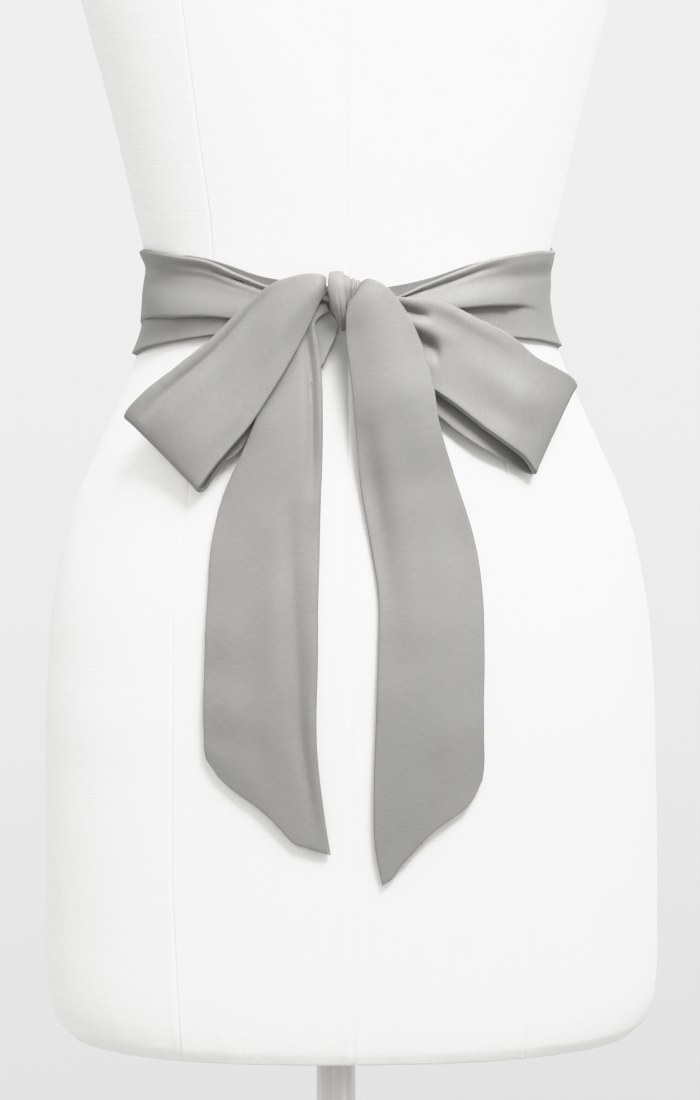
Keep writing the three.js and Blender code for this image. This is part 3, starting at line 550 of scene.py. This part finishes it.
def sewn_tube(
    middle, along, front, *, seed, columns=26, sewn_end=False, half_thick=HALF_THICK, slack=0.3,
    roll=(0.3, 0.3), lip=1.0,
):
    """A flat cloth tube on a middle surface: points, quads and uvs of its outside and inside skins.

    Its outline across is the edge path, columns over the flat, and the edge path again. A point is the
    middle surface there, moved along its normal by the half thickness plus the seam's rise, times how
    far open the tube is. At a sewn end the same edge path runs along the tube too. front, 1 or -1, says
    which way along the normal the front ply is; its two edges are set in by roll times ROLLED. lip
    is the share of the seam's rise that it has."""
    skins = []
    for path, wall in ((EDGE_OUTSIDE, 0.0), (EDGE_INSIDE, CLOTH_WALL)):
        edge_in, rise, opening = path.T
        rows = np.concatenate([along, np.full(len(path), along[-1])]) if sewn_end else along
        rows = rows[:, None]
        half = np.full_like(rows, 0.5)
        da, dl = slopes(middle, half, np.clip(rows, 0.001, 0.999))
        area = np.linalg.norm(np.cross(da, dl), axis=-1)
        width = area / np.linalg.norm(dl, axis=-1)
        scale = np.minimum(1.0, width / NARROW)
        left = edge_in * scale / width
        set_in = np.where(edge_in == edge_in[0], 0, 1 - (edge_in / EDGE_ZONE) ** 2) * ROLLED * scale / width
        flat_from, flat_to = left[:, -1:], 1 - left[:, -1:]
        flat = flat_from + (flat_to - flat_from) * np.linspace(0, 1, columns + 2)[1:-1]
        across = np.concatenate([left, flat, 1 - left[:, ::-1]], 1)
        rise = rise * lip
        side_rise = np.concatenate([rise, np.zeros(columns), rise[::-1]])[None, :]
        side_open = np.concatenate([opening, np.ones(columns), opening[::-1]])[None, :]
        rows = np.repeat(rows, across.shape[1], 1)
        end_rise, end_open = np.zeros_like(rows), np.ones_like(rows)
        if sewn_end:
            da, dl = slopes(middle, across[-1], np.full(across.shape[1], 0.995))
            reach = np.linalg.norm(np.cross(da, dl), axis=-1) / np.linalg.norm(da, axis=-1)
            reach = np.full_like(reach, reach.mean())
            n = len(path)
            rows[-n:] = along[-1] - edge_in[::-1, None] / reach
            last = along[-1] - edge_in.max() / reach
            rows[:-n] = rows[:-n] * (last * 0.999 / along[-1])
            end_rise[-n:] = rise[::-1, None]
            end_open[-n:] = opening[::-1, None]
        spine = middle(across, rows)
        da, dl = slopes(middle, across, rows)
        normal = front * np.cross(da, dl)
        normal /= np.maximum(np.linalg.norm(normal, axis=-1, keepdims=True), 1e-9)
        flat_set_in = np.zeros((len(set_in), columns))
        set_in = np.concatenate([set_in * roll[0], flat_set_in, -set_in[:, ::-1] * roll[1]], 1)
        if sewn_end:
            set_in = np.concatenate([set_in[: len(across) - n], np.repeat(set_in[-1:], n, 0)])[: len(across)]
            set_in = set_in * np.where(end_open < 0.99, end_open, 1)
        front_spine = middle(across + set_in, rows)
        step = np.linalg.norm(np.diff(spine[:, spine.shape[1] // 2], axis=0), axis=-1)
        v = np.concatenate([[0.0], np.cumsum(step)])[:, None]
        u = across * width[np.minimum(np.arange(len(rows)), len(width) - 1)]
        from_edge = np.minimum(across, 1 - across) * width
        height = (half_thick - wall + np.maximum(side_rise, end_rise)) * side_open * end_open
        drift = seam_pucker(np.where(across < 0.5, from_edge, FAR_FROM_EDGE), v, seed, PUCKERS)
        drift = drift + seam_pucker(np.where(across > 0.5, from_edge, FAR_FROM_EDGE), v, seed + 7, PUCKERS)
        drift = drift + slack_waves(u, v, seed, SLACK_SIZE, slack)
        front_ply = front_spine + normal * (drift + height)[..., None]
        back_ply = spine + normal * (drift - height)[..., None]
        loop = np.concatenate([front_ply, back_ply[:, -2:0:-1]], 1)
        loop_u = np.concatenate([u, 2 * width.max() - u[:, -2:0:-1]], 1)
        skins.append((loop, loop_u, np.repeat(v, loop.shape[1], 1)))
    (outer, outer_u, outer_v), (inner, inner_u, inner_v) = skins
    count, size = outer.shape[0], outer.shape[1]
    outer_faces = grid_faces(count, size)
    inner_faces = grid_faces(count, size)[:, ::-1] + count * size
    ring = np.arange(size)
    following = (ring + 1) % size
    inner_first = ring + count * size
    faces = [outer_faces, inner_faces, np.stack([inner_first, inner_first[following], following, ring], -1)]
    joined = np.arange(2 * count * size)
    if sewn_end:
        # The last ring of each skin is flat, so its back half is the same points as its front half.
        across_count = size // 2 + 1
        behind = np.arange(across_count, size)
        for skin_start in (0, count * size):
            last_ring = skin_start + (count - 1) * size
            joined[last_ring + behind] = last_ring + 2 * (across_count - 1) - behind
    else:
        outer_last = ring + (count - 1) * size
        inner_last = outer_last + count * size
        next_outer, next_inner = following + (count - 1) * size, following + (2 * count - 1) * size
        faces.append(np.stack([outer_last, next_outer, next_inner, inner_last], -1))
    points = np.concatenate([outer.reshape(-1, 3), inner.reshape(-1, 3)])
    u = np.concatenate([outer_u.ravel(), inner_u.ravel()])
    v = np.concatenate([outer_v.ravel(), inner_v.ravel()])
    faces = np.concatenate(faces)
    uv = np.stack([u[faces], v[faces]], -1) / 1000
    used, faces = np.unique(joined[faces], return_inverse=True)
    return facing_out(points[used], faces.reshape(-1, 4), uv)


def facing_out(points, faces, uv):
    """The same mesh with its faces turned outwards, if the volume they enclose comes out negative."""
    a, b, c, d = (points[faces[:, k]] for k in range(4))
    volume = np.einsum("ij,ij->i", a, np.cross(b, c)).sum() + np.einsum("ij,ij->i", a, np.cross(c, d)).sum()
    return (points, faces, uv) if volume > 0 else (points, faces[:, ::-1], uv[:, ::-1])


BAND_ROWS = [
    # angle from the centre back, top edge, bottom edge, lift
    (-2.5, 8, -5, 3.4), (-10, 8, -10, 3.3), (-19, 10.2, -14, 3.3), (-28.5, 17.0, -16, 3.5),
    (-39, 24.6, -17.7, 3.2), (-52, 27.6, -21, 3.0), (-64, 29.4, -24.4, 2.8), (-78, 30.4, -28.5, 2.1),
    (-95, 29, -31.6, 1.9), (-125, 30, -31.8, 1.9), (-160, 29, -33, 1.9), (-195, 30.5, -32, 1.9),
    (-230, 29, -32.6, 1.9), (-265, 29.4, -29, 1.9), (-282, 28.2, -26, 1.9), (-296, 28.2, -23, 2.5),
    (-308.5, 27.0, -20.6, 3.0), (-321, 23.8, -18.5, 3.2), (-331.5, 17.6, -16.5, 3.5), (-341, 10.8, -14, 3.3),
    (-350, 3.5, -9, 3.4), (-358.6, 3, -5, 3.4),
]
# The pleat on each side of the knot: at an angle from the centre back, how far out its roll stands,
# how far it laps over, how far out the cloth below it is, and the share across at which it creases.
PLEAT_LEFT = np.array([
    (-112, 0, 0, 0, 0.74), (-100, 0.2, 0.2, -0.5, 0.72), (-90, 0.6, 0.8, -0.4, 0.70),
    (-80, 1.5, 1.9, 0.1, 0.67), (-68, 2.8, 3.4, 0.4, 0.655), (-56, 3.8, 4.2, 0.6, 0.665),
    (-44, 4.0, 4.2, 0.6, 0.68), (-33, 3.2, 3.6, 0.5, 0.69), (-22, 2.3, 3.0, 0.4, 0.7),
    (-10, 1.6, 2.0, 0.3, 0.68), (0, 0, 0, 0, 0.68),
])
PLEAT_RIGHT = np.array([
    (-360, 0, 0, 0, 0.56), (-350, 1.6, 1.2, 0.3, 0.555), (-339, 2.6, 2.0, 0.2, 0.555),
    (-330, 4.0, 2.8, 0, 0.555), (-322, 4.8, 3.4, -0.3, 0.56), (-315, 4.6, 3.2, -0.4, 0.572),
    (-309, 3.0, 1.9, -0.2, 0.59), (-304, 1.4, 0.8, -0.1, 0.61), (-298, 0.5, 0.2, 0, 0.63),
    (-290, 0, 0, 0, 0.65),
])
BAND_WIDTH = 60.0  # turns a share across the band into mm, for its folds
BAND_FOLDS = [
    # from (across, angle), to (across, angle), half width in mm, height
    (0.24, -20, 0.15, -108, 5.0, -2.2), (0.11, -8, 0.10, -62, 2.2, -2.2), (0.46, -40, 0.40, -96, 6.0, 0.9),
    (0.30, -110, 0.42, -205, 7.0, 1.1), (0.66, -150, 0.55, -250, 6.0, 1.0),
    (0.12, -330, 0.10, -262, 3.4, 0.6), (0.30, -330, 0.24, -262, 4.4, -0.8),
    (0.13, -356, 0.11, -312, 2.4, -2.6), (0.25, -90, 0.30, -130, 5.0, 0.7),
    (0.52, -283, 0.42, -244, 4.5, -0.8),
]


def band_middle(across, along):
    """Round the waist at each row's angle, straight down from its top edge to its bottom one. A pleat
    is a roll that swells to its crease as a smooth step, then folds back under itself in another, while
    the cloth under it slopes back in to the bottom edge. A fold is a bell curve across that runs from
    one point to another and swells and dies as half a sine on its way."""
    angle = row_curve(BAND_ROWS, 0, along)
    z = row_curve(BAND_ROWS, 1, along) * (1 - across) + row_curve(BAND_ROWS, 2, along) * across
    lift = row_curve(BAND_ROWS, 3, along)
    for pleat in (PLEAT_LEFT, PLEAT_RIGHT):
        out, lap, below, crease = (np.interp(angle, pleat[:, 0], pleat[:, k]) for k in (1, 2, 3, 4))
        swell = smooth_step(across, crease - 0.37, crease - 0.07)
        under = smooth_step(across, crease - 0.035, crease + 0.035)
        lower = below * (1 - smooth_step(across, crease, 1.0))
        lift = lift + out * swell * (1 - under) + lower * under
        z = z + lap * (under - smooth_step(across, crease - 0.3, crease + 0.02) * 0.55 - across * 0.45)
    for across_from, angle_from, across_to, angle_to, half, height in BAND_FOLDS:
        t = np.clip((angle - angle_from) / (angle_to - angle_from), 0, 1)
        away = (across - across_from - (across_to - across_from) * t) * BAND_WIDTH / half
        lift = lift + height * np.sin(math.pi * t) * np.exp(-away * away)
    return form_point(np.radians(angle), z + WAIST_Z, lift)


band = new_piece(
    "satin_band", *sewn_tube(band_middle, np.linspace(0, 1, 400), -1, columns=36, seed=3, roll=(0.5, 0.2)),
    paint=satin,
)
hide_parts("sash_band")
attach(band, "root")

# ---- Tucks -------------------------------------------------------------------------------------
# Beside the knot the band's top edge is turned down behind it, and a sliver of the turned part
# stands above the edge.
TUCK_LEFT = [
    # x, z and lift of the folded edge, then of the edge behind the band, and the bulge between
    (-99, 27.0, 0.9, -99, 20, 0.9, 0), (-90, 27.4, 1.2, -90, 19, 0.9, 0), (-79, 25.8, 1.6, -80, 17, 0.9, 0),
    (-68, 22.7, 2.0, -69, 14, 0.9, 0), (-60, 20.0, 2.1, -61, 11, 1.0, 0), (-50, 16.6, 2.1, -51, 8, 1.0, 0),
    (-37, 14.0, 2.1, -38, 5, 1.0, 0), (-22, 12.0, 1.8, -23, 3, 1.2, 0), (-8, 10, 1.5, -8, 2, 1.2, 0),
]
TUCK_RIGHT = [
    (84, 23.8, 0.9, 84, 17, 0.9, 0), (76, 23.2, 1.4, 76, 15, 0.9, 0), (67, 21.2, 1.8, 68, 13, 0.9, 0),
    (58, 18.3, 2.1, 59, 11, 1.0, 0), (46, 14.6, 2.1, 47, 6, 1.0, 0), (33, 11.6, 2.1, 34, 2, 1.0, 0),
    (18, 9.2, 1.8, 19, 0, 1.2, 0), (3, 8, 1.3, 3, 0, 1.2, 0),
]
BEND = 6.0  # how widely the bend from the waist's curve to the flat is rounded


def back_y(x, z, flat_from=math.inf):
    """Depth of the form's back at x and z. Past flat_from it is carried on sideways, dead level: the
    smaller of x and flat_from, rounded over BEND where they meet, is what the depth is taken at."""
    side, back, _, power = form_section(z)
    reach = -BEND * np.log(np.exp(-np.abs(x) / BEND) + np.exp(-flat_from / BEND))
    share = np.minimum(reach / side, 0.98)
    return -back * (1 - share**power) ** (1 / power)


def stretch(rows, flat_from=math.inf, folds=(), hem=None):
    """Middle surface of a stretch: each row gives its two edges, and a point is on the straight line
    between them, lifted off the form by the row's lifts and a bulge of 4a(1-a) of its way across. A
    fold is a bell curve across, run from one point to another, that swells and dies as the 0.8 power of
    half a sine. hem lists how far z is moved at even steps across, fading in over the last fifth."""
    def middle(across, along):
        c = [row_curve(rows, k, along) for k in range(7)]
        x = c[0] * (1 - across) + c[3] * across
        z = c[1] * (1 - across) + c[4] * across
        if hem:
            z = z + row_curve([(step,) for step in hem], 0, across) * smooth_step(along, 0.8, 1.0)
        lift = c[2] * (1 - across) + c[5] * across + c[6] * 4 * across * (1 - across)
        width = np.hypot(c[3] - c[0], c[4] - c[1])
        for across_from, along_from, across_to, along_to, half, height in folds:
            t = np.clip((along - along_from) / (along_to - along_from), 0, 1)
            away = (across - across_from - (across_to - across_from) * t) * width / half
            lift = lift + height * np.sin(math.pi * t) ** 0.8 * np.exp(-away * away)
        return np.stack([x, back_y(x, z + WAIST_Z, flat_from) - lift, z + WAIST_Z], -1)
    return middle


for name, node, rows in (
    ("tuck_left", "sash_tuck_left", TUCK_LEFT),
    ("tuck_right", "sash_tuck_right", TUCK_RIGHT),
):
    tube = sewn_tube(
        stretch(rows), np.linspace(0, 1, 110), -1, seed=11, columns=8, half_thick=0.5, slack=0.1, roll=(0, 0),
        lip=0.2,
    )
    tuck = new_piece(name, *tube, paint=satin)
    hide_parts(node)
    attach(tuck, "root")

# ---- Loops -------------------------------------------------------------------------------------
# Each loop runs out from the knot as a front layer, turns over at its tip and comes back behind,
# its lower edges a little apart so that the dark inside shows.
FLAT_FROM = 55.0  # past this the bow no longer bends round with the waist
LOOP_LEFT = [
    # x, z and lift of the upper edge, then of the lower edge, and the bulge between
    (-11.9, 15.0, 15.3, -12.4, 7, 15.3, 0.8), (-16, 17.4, 16, -16.5, 1.6, 16, 3),
    (-27, 17.3, 16.5, -21, -9.4, 16, 4), (-42, 12.2, 16.5, -29, -25.4, 16, 4),
    (-57, 0.6, 15, -41, -45.6, 15.5, 3.5), (-74, -16.4, 11, -55, -66.6, 14, 3),
    (-93, -31.4, 7, -66.5, -79.8, 12, 2.5), (-111, -45, 1.5, -76, -91, 9.5, 2),
    (-122.5, -56, -4.5, -82, -99.5, 6.5, 0.6), (-125.4, -61.5, -9, -83.4, -102, 3, 0),
    (-121.5, -59, -13.5, -80.5, -102.5, -0.5, -0.6), (-109, -49, -9, -76.5, -97.4, 1.4, -1),
    (-91, -35, -2.4, -71, -88.4, 3.2, -0.6), (-72, -19, 2.2, -60, -80, 4.8, 0),
    (-54, -3, 7.2, -44, -56, 6.3, 0), (-36, 8, 8.1, -27, -22, 7.8, 0), (-20, 9, 8, -18, -5, 7.9, 0),
    (-12.6, 7.5, 8, -12.6, 1, 8, 0),
]
LOOP_LEFT_FOLDS = [
    # across and along where it starts, across and along where it ends, half width in mm, height
    (0.10, 0.17, 0.17, 0.475, 2.8, -2.6),
    (0.02, 0.2, 0.04, 0.46, 3.0, 0.7),
    (0.27, 0.2, 0.36, 0.5, 6.0, 0.9),
    (0.55, 0.05, 0.62, 0.3, 6.0, 0.8),
    (0.85, 0.2, 0.8, 0.44, 5.0, 0.6),
]
LOOP_RIGHT = [
    (8.5, 3, 12, 8.5, -5, 12, 0.5), (20, 4, 13, 17, -20, 12.6, 1.2), (38, 4, 13.4, 32, -37, 12.6, 1.6),
    (55, 1, 13.2, 47, -47.8, 12.6, 0.9), (72, -7.6, 11.8, 60, -57, 11.6, 0.8),
    (91, -17.6, 7.4, 75, -69, 8.6, 1.1), (105, -29.5, 2, 88, -78.5, 5.2, 2),
    (118, -36.6, -5.5, 97.5, -86, -0.5, 1), (125.5, -41.5, -11.5, 102.2, -92.5, -5.5, 0.3),
    (128.4, -46, -16.5, 103.5, -95.5, -9.5, 0), (124.5, -44.5, -21, 101.5, -95.8, -13, -0.6),
    (115, -39.5, -17, 94.5, -92.5, -9.5, -1.5), (103, -33, -10, 86, -87, -4, -1.2),
    (88, -21, -4.6, 74, -80, 1.5, -0.8), (70, -11, 2.5, 60, -70.5, 3.8, -0.2),
    (52, -2, 7.4, 46, -58.5, 5.9, 0), (34, 2, 8.8, 29, -43, 7.2, 0), (18, 2, 8.8, 16, -18, 8.4, 0),
    (8.5, 1.5, 8.8, 8.5, -4, 8.8, 0),
]
LOOP_RIGHT_FOLDS = [
    (0.18, 0.065, 0.225, 0.142, 2.7, -4.8),
    (0.06, 0.02, 0.10, 0.3, 3.2, 1.2),
    (0.37, 0.04, 0.36, 0.2, 4.0, 1.2),
    (0.50, 0.09, 0.57, 0.172, 5.0, -7.6),
    (0.50, 0.2, 0.42, 0.42, 8.0, 1.0),
    (0.80, 0.24, 0.72, 0.42, 6.0, -0.7),
]

loop_left = new_piece(
    "loop_left",
    *sewn_tube(
        stretch(LOOP_LEFT, FLAT_FROM, LOOP_LEFT_FOLDS), np.linspace(0, 1, 230), -1, seed=21, columns=34
    ),
    paint=satin,
)
loop_right = new_piece(
    "loop_right",
    *sewn_tube(
        stretch(LOOP_RIGHT, FLAT_FROM, LOOP_RIGHT_FOLDS), np.linspace(0, 1, 230), 1, seed=22, columns=36,
        roll=(0.3, 1.0),
    ),
    paint=satin,
)
for loop, node, flat in (
    (loop_left, "sash_loop_left", (0.126, 0.272)),
    (loop_right, "sash_loop_right", (0.126, 0.285)),
):
    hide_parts(node)
    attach(loop, "root")

# ---- Tails -------------------------------------------------------------------------------------
# The sash's two ends hang from the knot against the form, each cut on a slant and sewn across. The
# left one leaves the knot still folded in half and opens out on its way down.
TAIL_RIGHT = [
    # x, z and lift of the left edge, then of the right edge, and the bulge between
    (4.2, 3.6, 17.4, 8.2, 11.8, 16.4, 0.5), (0.5, -0.6, 18.7, 13.2, 14.6, 20, 2.2),
    (-0.8, -8, 18.9, 22, 10, 21, 4), (-0.8, -19, 17.8, 32, -3, 20, 5), (1, -34, 17, 41, -22, 19, 5.5),
    (2.6, -52, 15.6, 47, -44, 19, 5), (4.2, -76, 10, 50.9, -67, 16.5, 4),
    (6.6, -102, 5.5, 60.5, -99, 9, 2.5), (11.4, -131, 3.5, 70, -131, 5, 2),
    (15.8, -161, 3.6, 74.2, -160, 4, 1.6), (15.4, -194, 3.6, 75, -190, 4, 1.6),
    (14.1, -229, 4, 74.4, -220, 4.4, 1.6), (12.8, -266, 3.8, 74.3, -240, 4.2, 1.6),
    (13, -298, 3.4, 74.6, -253, 3.6, 1.4), (17, -321.5, 3, 73.4, -263, 3.2, 1.2),
]
TAIL_RIGHT_FOLDS = [
    (0.16, 0.40, 0.10, 0.66, 6.0, -1.9),
    (0.34, 0.36, 0.32, 0.7, 8.0, 1.1),
    (0.62, 0.5, 0.5, 0.92, 12.0, 0.9),
    (0.85, 0.45, 0.8, 0.8, 7.0, -0.8),
]
TAIL_LEFT = [
    (-11.4, 0.4, 11.8, -10.4, -3.0, 11.8, 0.6), (-22, -1.2, 11.8, -14.8, -6.0, 12, 0.8),
    (-35, -10, 11.8, -18, -11.6, 12.2, 0.8), (-42, -26, 11.8, -16.2, -22, 12.2, 0.8),
    (-46, -44, 11.6, -14.5, -40, 12, 0.8), (-52, -64, 11.3, -14, -62, 11.3, 1),
    (-60.5, -84, 8, -14.4, -84, 8.4, 2), (-71, -108, 5, -15.4, -108, 6, 2),
    (-76.6, -132, 4, -16.1, -132, 4.4, 2), (-79.2, -162, 3.6, -17, -162, 4, 1.8),
    (-81, -195, 3.8, -17.5, -197, 4, 1.6), (-81.9, -222, 4.2, -18.6, -233, 4.2, 1.6),
    (-81.8, -238, 3.8, -17.4, -258, 3.8, 1.4), (-81.5, -246, 3.4, -14.4, -284, 3.4, 1.2),
    (-80.4, -251, 3, -11.4, -304, 3, 1),
]
TAIL_LEFT_FOLDS = [
    (0.74, 0.14, 0.91, 0.50, 3.2, -3.4),
    (0.70, 0.50, 0.92, 0.95, 4.6, -2.8),
    (0.94, 0.55, 0.97, 0.97, 3.2, 0.9),
    (0.60, 0.5, 0.62, 0.9, 7.0, 0.9),
    (0.32, 0.52, 0.40, 0.86, 12.0, -0.9),
]
TAIL_LEFT_UNDER = [
    (-16, 0.0, 9.6, -9.4, -0.6, 9.6, 0), (-24.6, -6, 9.8, -7.8, -5.2, 9.6, 0.2),
    (-35, -15, 9.8, -5.0, -12.6, 8.8, 0.3), (-41, -28, 9.7, -9.8, -24.6, 8.8, 0.2),
    (-45, -44, 9.4, -17, -38.5, 9.2, 0), (-50, -60, 9.2, -30, -57, 9.2, 0),
]
# How far the sewn end is above a straight line, or below it where negative, at even steps from its
# left corner to its right.
TAIL_RIGHT_HEM = (-1.0, -2.6, -0.5, -0.3, 0.0, -0.2, -1.9, -4.0, -5.8, -5.2, 0.0)
TAIL_LEFT_HEM = (0.0, -4.6, -5.9, -5.5, -4.9, -5.6, -7.6, -9.8, -7.0, -4.0, -1.0)


def threads_upright(tube):
    """The same tube with u its x and v its z, so the weave runs straight down to the slanted end."""
    points, faces, _ = tube
    return points, faces, np.stack([points[faces, 0], points[faces, 2]], -1) / 1000


tail_right = new_piece(
    "tail_right",
    *threads_upright(sewn_tube(
        stretch(TAIL_RIGHT, folds=TAIL_RIGHT_FOLDS, hem=TAIL_RIGHT_HEM), np.linspace(0, 1, 200), -1, seed=31,
        sewn_end=True,
    )),
    paint=satin,
)
tail_left = new_piece(
    "tail_left",
    *threads_upright(sewn_tube(
        stretch(TAIL_LEFT, folds=TAIL_LEFT_FOLDS, hem=TAIL_LEFT_HEM), np.linspace(0, 1, 200), -1, seed=32,
        sewn_end=True, roll=(0.3, 1.1),
    )),
    paint=satin,
)
tail_under = new_piece(
    "tail_left_under",
    *sewn_tube(stretch(TAIL_LEFT_UNDER), np.linspace(0, 1, 80), -1, seed=33, columns=14, slack=0.15),
    paint=satin,
)
for tail, node, flat in (
    (tail_right, "sash_tail_right", (0.127, 0.335)),
    (tail_left, "sash_tail_left", (0.127, 0.32)),
    (tail_under, "sash_tail_left_under", (0.062, 0.066)),
):
    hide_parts(node)
    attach(tail, "root")

# ---- Knot --------------------------------------------------------------------------------------
# One strip of the sash, gathered to a finger's width, passes over the crossing and down behind it.
# Three of its pleats stand out on the right.
WRAP = [
    # x, z and lift of the left edge, then of the right edge, and the bulge between
    (-10.4, 12.6, 6, -1.4, 12.6, 6, 0.2), (-10.4, 16.8, 9, -1.8, 17, 9, 0.6),
    (-10.0, 17.6, 14, -2.0, 17.7, 14.6, 1.0), (-10.6, 13.4, 18.6, -1.7, 13.6, 20, 1.3),
    (-10.4, 7.6, 20.0, -1.4, 7, 21.4, 1.7), (-8.6, 0.6, 19.2, -1.2, 0, 20.8, 1.7),
    (-6.2, -6.6, 15.6, -1.1, -6.8, 16.6, 1.3), (-3.7, -11.8, 10.6, -1.2, -12, 11.0, 0.6),
    (-3.1, -13.4, 6.6, -1.5, -13.4, 6.8, 0.3),
]
PLEATS = [
    (-2.6, 15.8, 8.4, 6.2, 12.4, 8.4, 0.3), (-2.8, 16.2, 13.4, 7.2, 12.7, 11.8, 0.8),
    (-2.7, 11.6, 17.0, 6.6, 9.4, 14.0, 1), (-2.5, 6.0, 17.6, 5.4, 4.6, 14.3, 0.8),
    (-2.2, 0.0, 16.8, 4.2, -0.6, 14.4, 0.4),
]


STRIP_WIDTH = 12.0  # of one side of the strip, for its weave
ROLL_END = 0.03  # share of the strip's length over which each end closes
GATHER_FADE = 0.25  # share of the length in which a gather deepens, up to its start


def gathered_roll(middle, along, columns, thick, gathers, depth):
    """A strip gathered into a roll: points, quads and uvs. Its section is a flattened oval about the
    middle surface, the fourth root of 1 - a^4 high, and each gather is a groove along it, the bell curve
    of the distance across from it, that fades in at its start along the strip."""
    across = (1 - np.cos(np.linspace(0, math.pi, columns))) / 2
    rows, across = np.broadcast_arrays(along[:, None], across[None, :])
    spine = middle(across, rows)
    da, dl = slopes(middle, np.clip(across, 0.02, 0.98), np.clip(rows, 0.002, 0.998))
    normal = np.cross(dl, da)
    normal /= np.maximum(np.linalg.norm(normal, axis=-1, keepdims=True), 1e-9)
    oval = np.maximum(1 - (2 * across - 1) ** 4, 0) ** 0.25
    ends = np.sqrt(np.clip(np.minimum(rows, 1 - rows) / ROLL_END, 0, 1))
    height = thick / 2 * oval
    for place, lean, half, share, start in gathers:
        away = (across - place - lean * (rows - 0.5)) / half
        fade_in = smooth_step(rows, start - GATHER_FADE, start)
        height = height - depth * share * np.exp(-away * away) * oval * fade_in
    front_side = spine + normal * (height * ends)[..., None]
    back_side = spine - normal * (thick / 2 * oval * ends)[..., None]
    loop = np.concatenate([front_side, back_side[:, -2:0:-1]], 1)
    count, size = loop.shape[:2]
    step = np.linalg.norm(np.diff(spine[:, columns // 2], axis=0), axis=-1)
    v = np.concatenate([[0.0], np.cumsum(step)])
    u = np.concatenate([across[0], 2 - across[0, -2:0:-1]]) * STRIP_WIDTH
    faces = grid_faces(count, size)
    joined = np.arange(count * size)
    behind = np.arange(columns, size)
    for first in (0, (count - 1) * size):
        joined[first + behind] = first + 2 * (columns - 1) - behind
    u, v = np.tile(u, count), np.repeat(v, size)
    uv = np.stack([u[faces], v[faces]], -1) / 1000
    used, faces = np.unique(joined[faces], return_inverse=True)
    return facing_out(loop.reshape(-1, 3)[used], faces.reshape(-1, 4), uv)


# Each gather: how far across it is, how it leans, its half width, its share of the depth, its start.
WRAP_GATHERS = [(0.28, 0.12, 0.06, 0.6, 0.75), (0.56, 0.05, 0.07, 0.9, 0.62), (0.80, -0.04, 0.05, 0.6, 0.7)]
PLEAT_GATHERS = [(0.48, 0.0, 0.055, 1.0, 0.0), (0.74, 0.0, 0.055, 0.9, 0.0)]
wrap = new_piece(
    "knot_strip", *gathered_roll(stretch(WRAP), np.linspace(0, 1, 130), 56, 2.4, WRAP_GATHERS, 0.45),
    paint=satin,
)
pleats = new_piece(
    "knot_folds", *gathered_roll(stretch(PLEATS), np.linspace(0, 1, 80), 48, 2.0, PLEAT_GATHERS, 1.3),
    paint=satin,
)

BUNDLE_ROWS = 40
BUNDLE_COLUMNS = 48
BUNDLE_TOP = 1.56  # angle of the last ring, just short of upright, so that no face there is flat


def bundle(centre, half, lean, gathers):
    """An egg of gathered cloth: the sphere's x, lift and z times the half sizes, with upright gathers
    as a sine of the angle round it, and z leaning by a share of x."""
    turn, rise = np.meshgrid(
        np.linspace(0, 2 * math.pi, BUNDLE_COLUMNS, endpoint=False),
        np.linspace(-BUNDLE_TOP, BUNDLE_TOP, BUNDLE_ROWS),
    )
    gather = 1 + 0.035 * np.sin(turn * gathers + 2 * rise)
    x = half[0] * np.cos(rise) * np.cos(turn) * gather
    lift = centre[2] - half[2] * np.cos(rise) * np.sin(turn) * gather
    y = back_y(np.array(centre[0]), np.array(WAIST_Z)) - lift
    z = WAIST_Z + centre[1] + half[1] * np.sin(rise) + lean * x
    points = np.stack([centre[0] + x, y, z], -1)
    faces = grid_faces(BUNDLE_ROWS, BUNDLE_COLUMNS)
    uv = np.stack([(turn * half[0]).ravel()[faces], (rise * half[1]).ravel()[faces]], -1) / 1000
    return facing_out(points.reshape(-1, 3), faces, uv)


# The bundle inside, and the end of it that shows as a small roll between the strip and the left loop.
inside = bundle((-5.0, 4.0, 10.4), (6.4, 10.6, 4.4), 0.0, 9)
peeping = bundle((-11.6, 4.0, 14.4), (3.9, 1.6, 1.5), -0.25, 3)
core = new_piece(
    "knot_bundle",
    np.concatenate([inside[0], peeping[0]]),
    np.concatenate([inside[1], peeping[1] + len(inside[0])]),
    np.concatenate([inside[2], peeping[2]]),
    paint=satin,
)
# These flat sizes are not the cloth's cut, which is the tube's 127 mm drawn together. They are matched
# to the outside of the gathered cloth, the only part of it that is modelled.
for piece, node, flat in (
    (wrap, "knot_wrap", (0.0115, 0.041)),
    (pleats, "knot_pleats", (0.01, 0.0175)),
    (core, "knot_core", (0.018, 0.024)),
):
    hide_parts(node)
    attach(piece, "root")
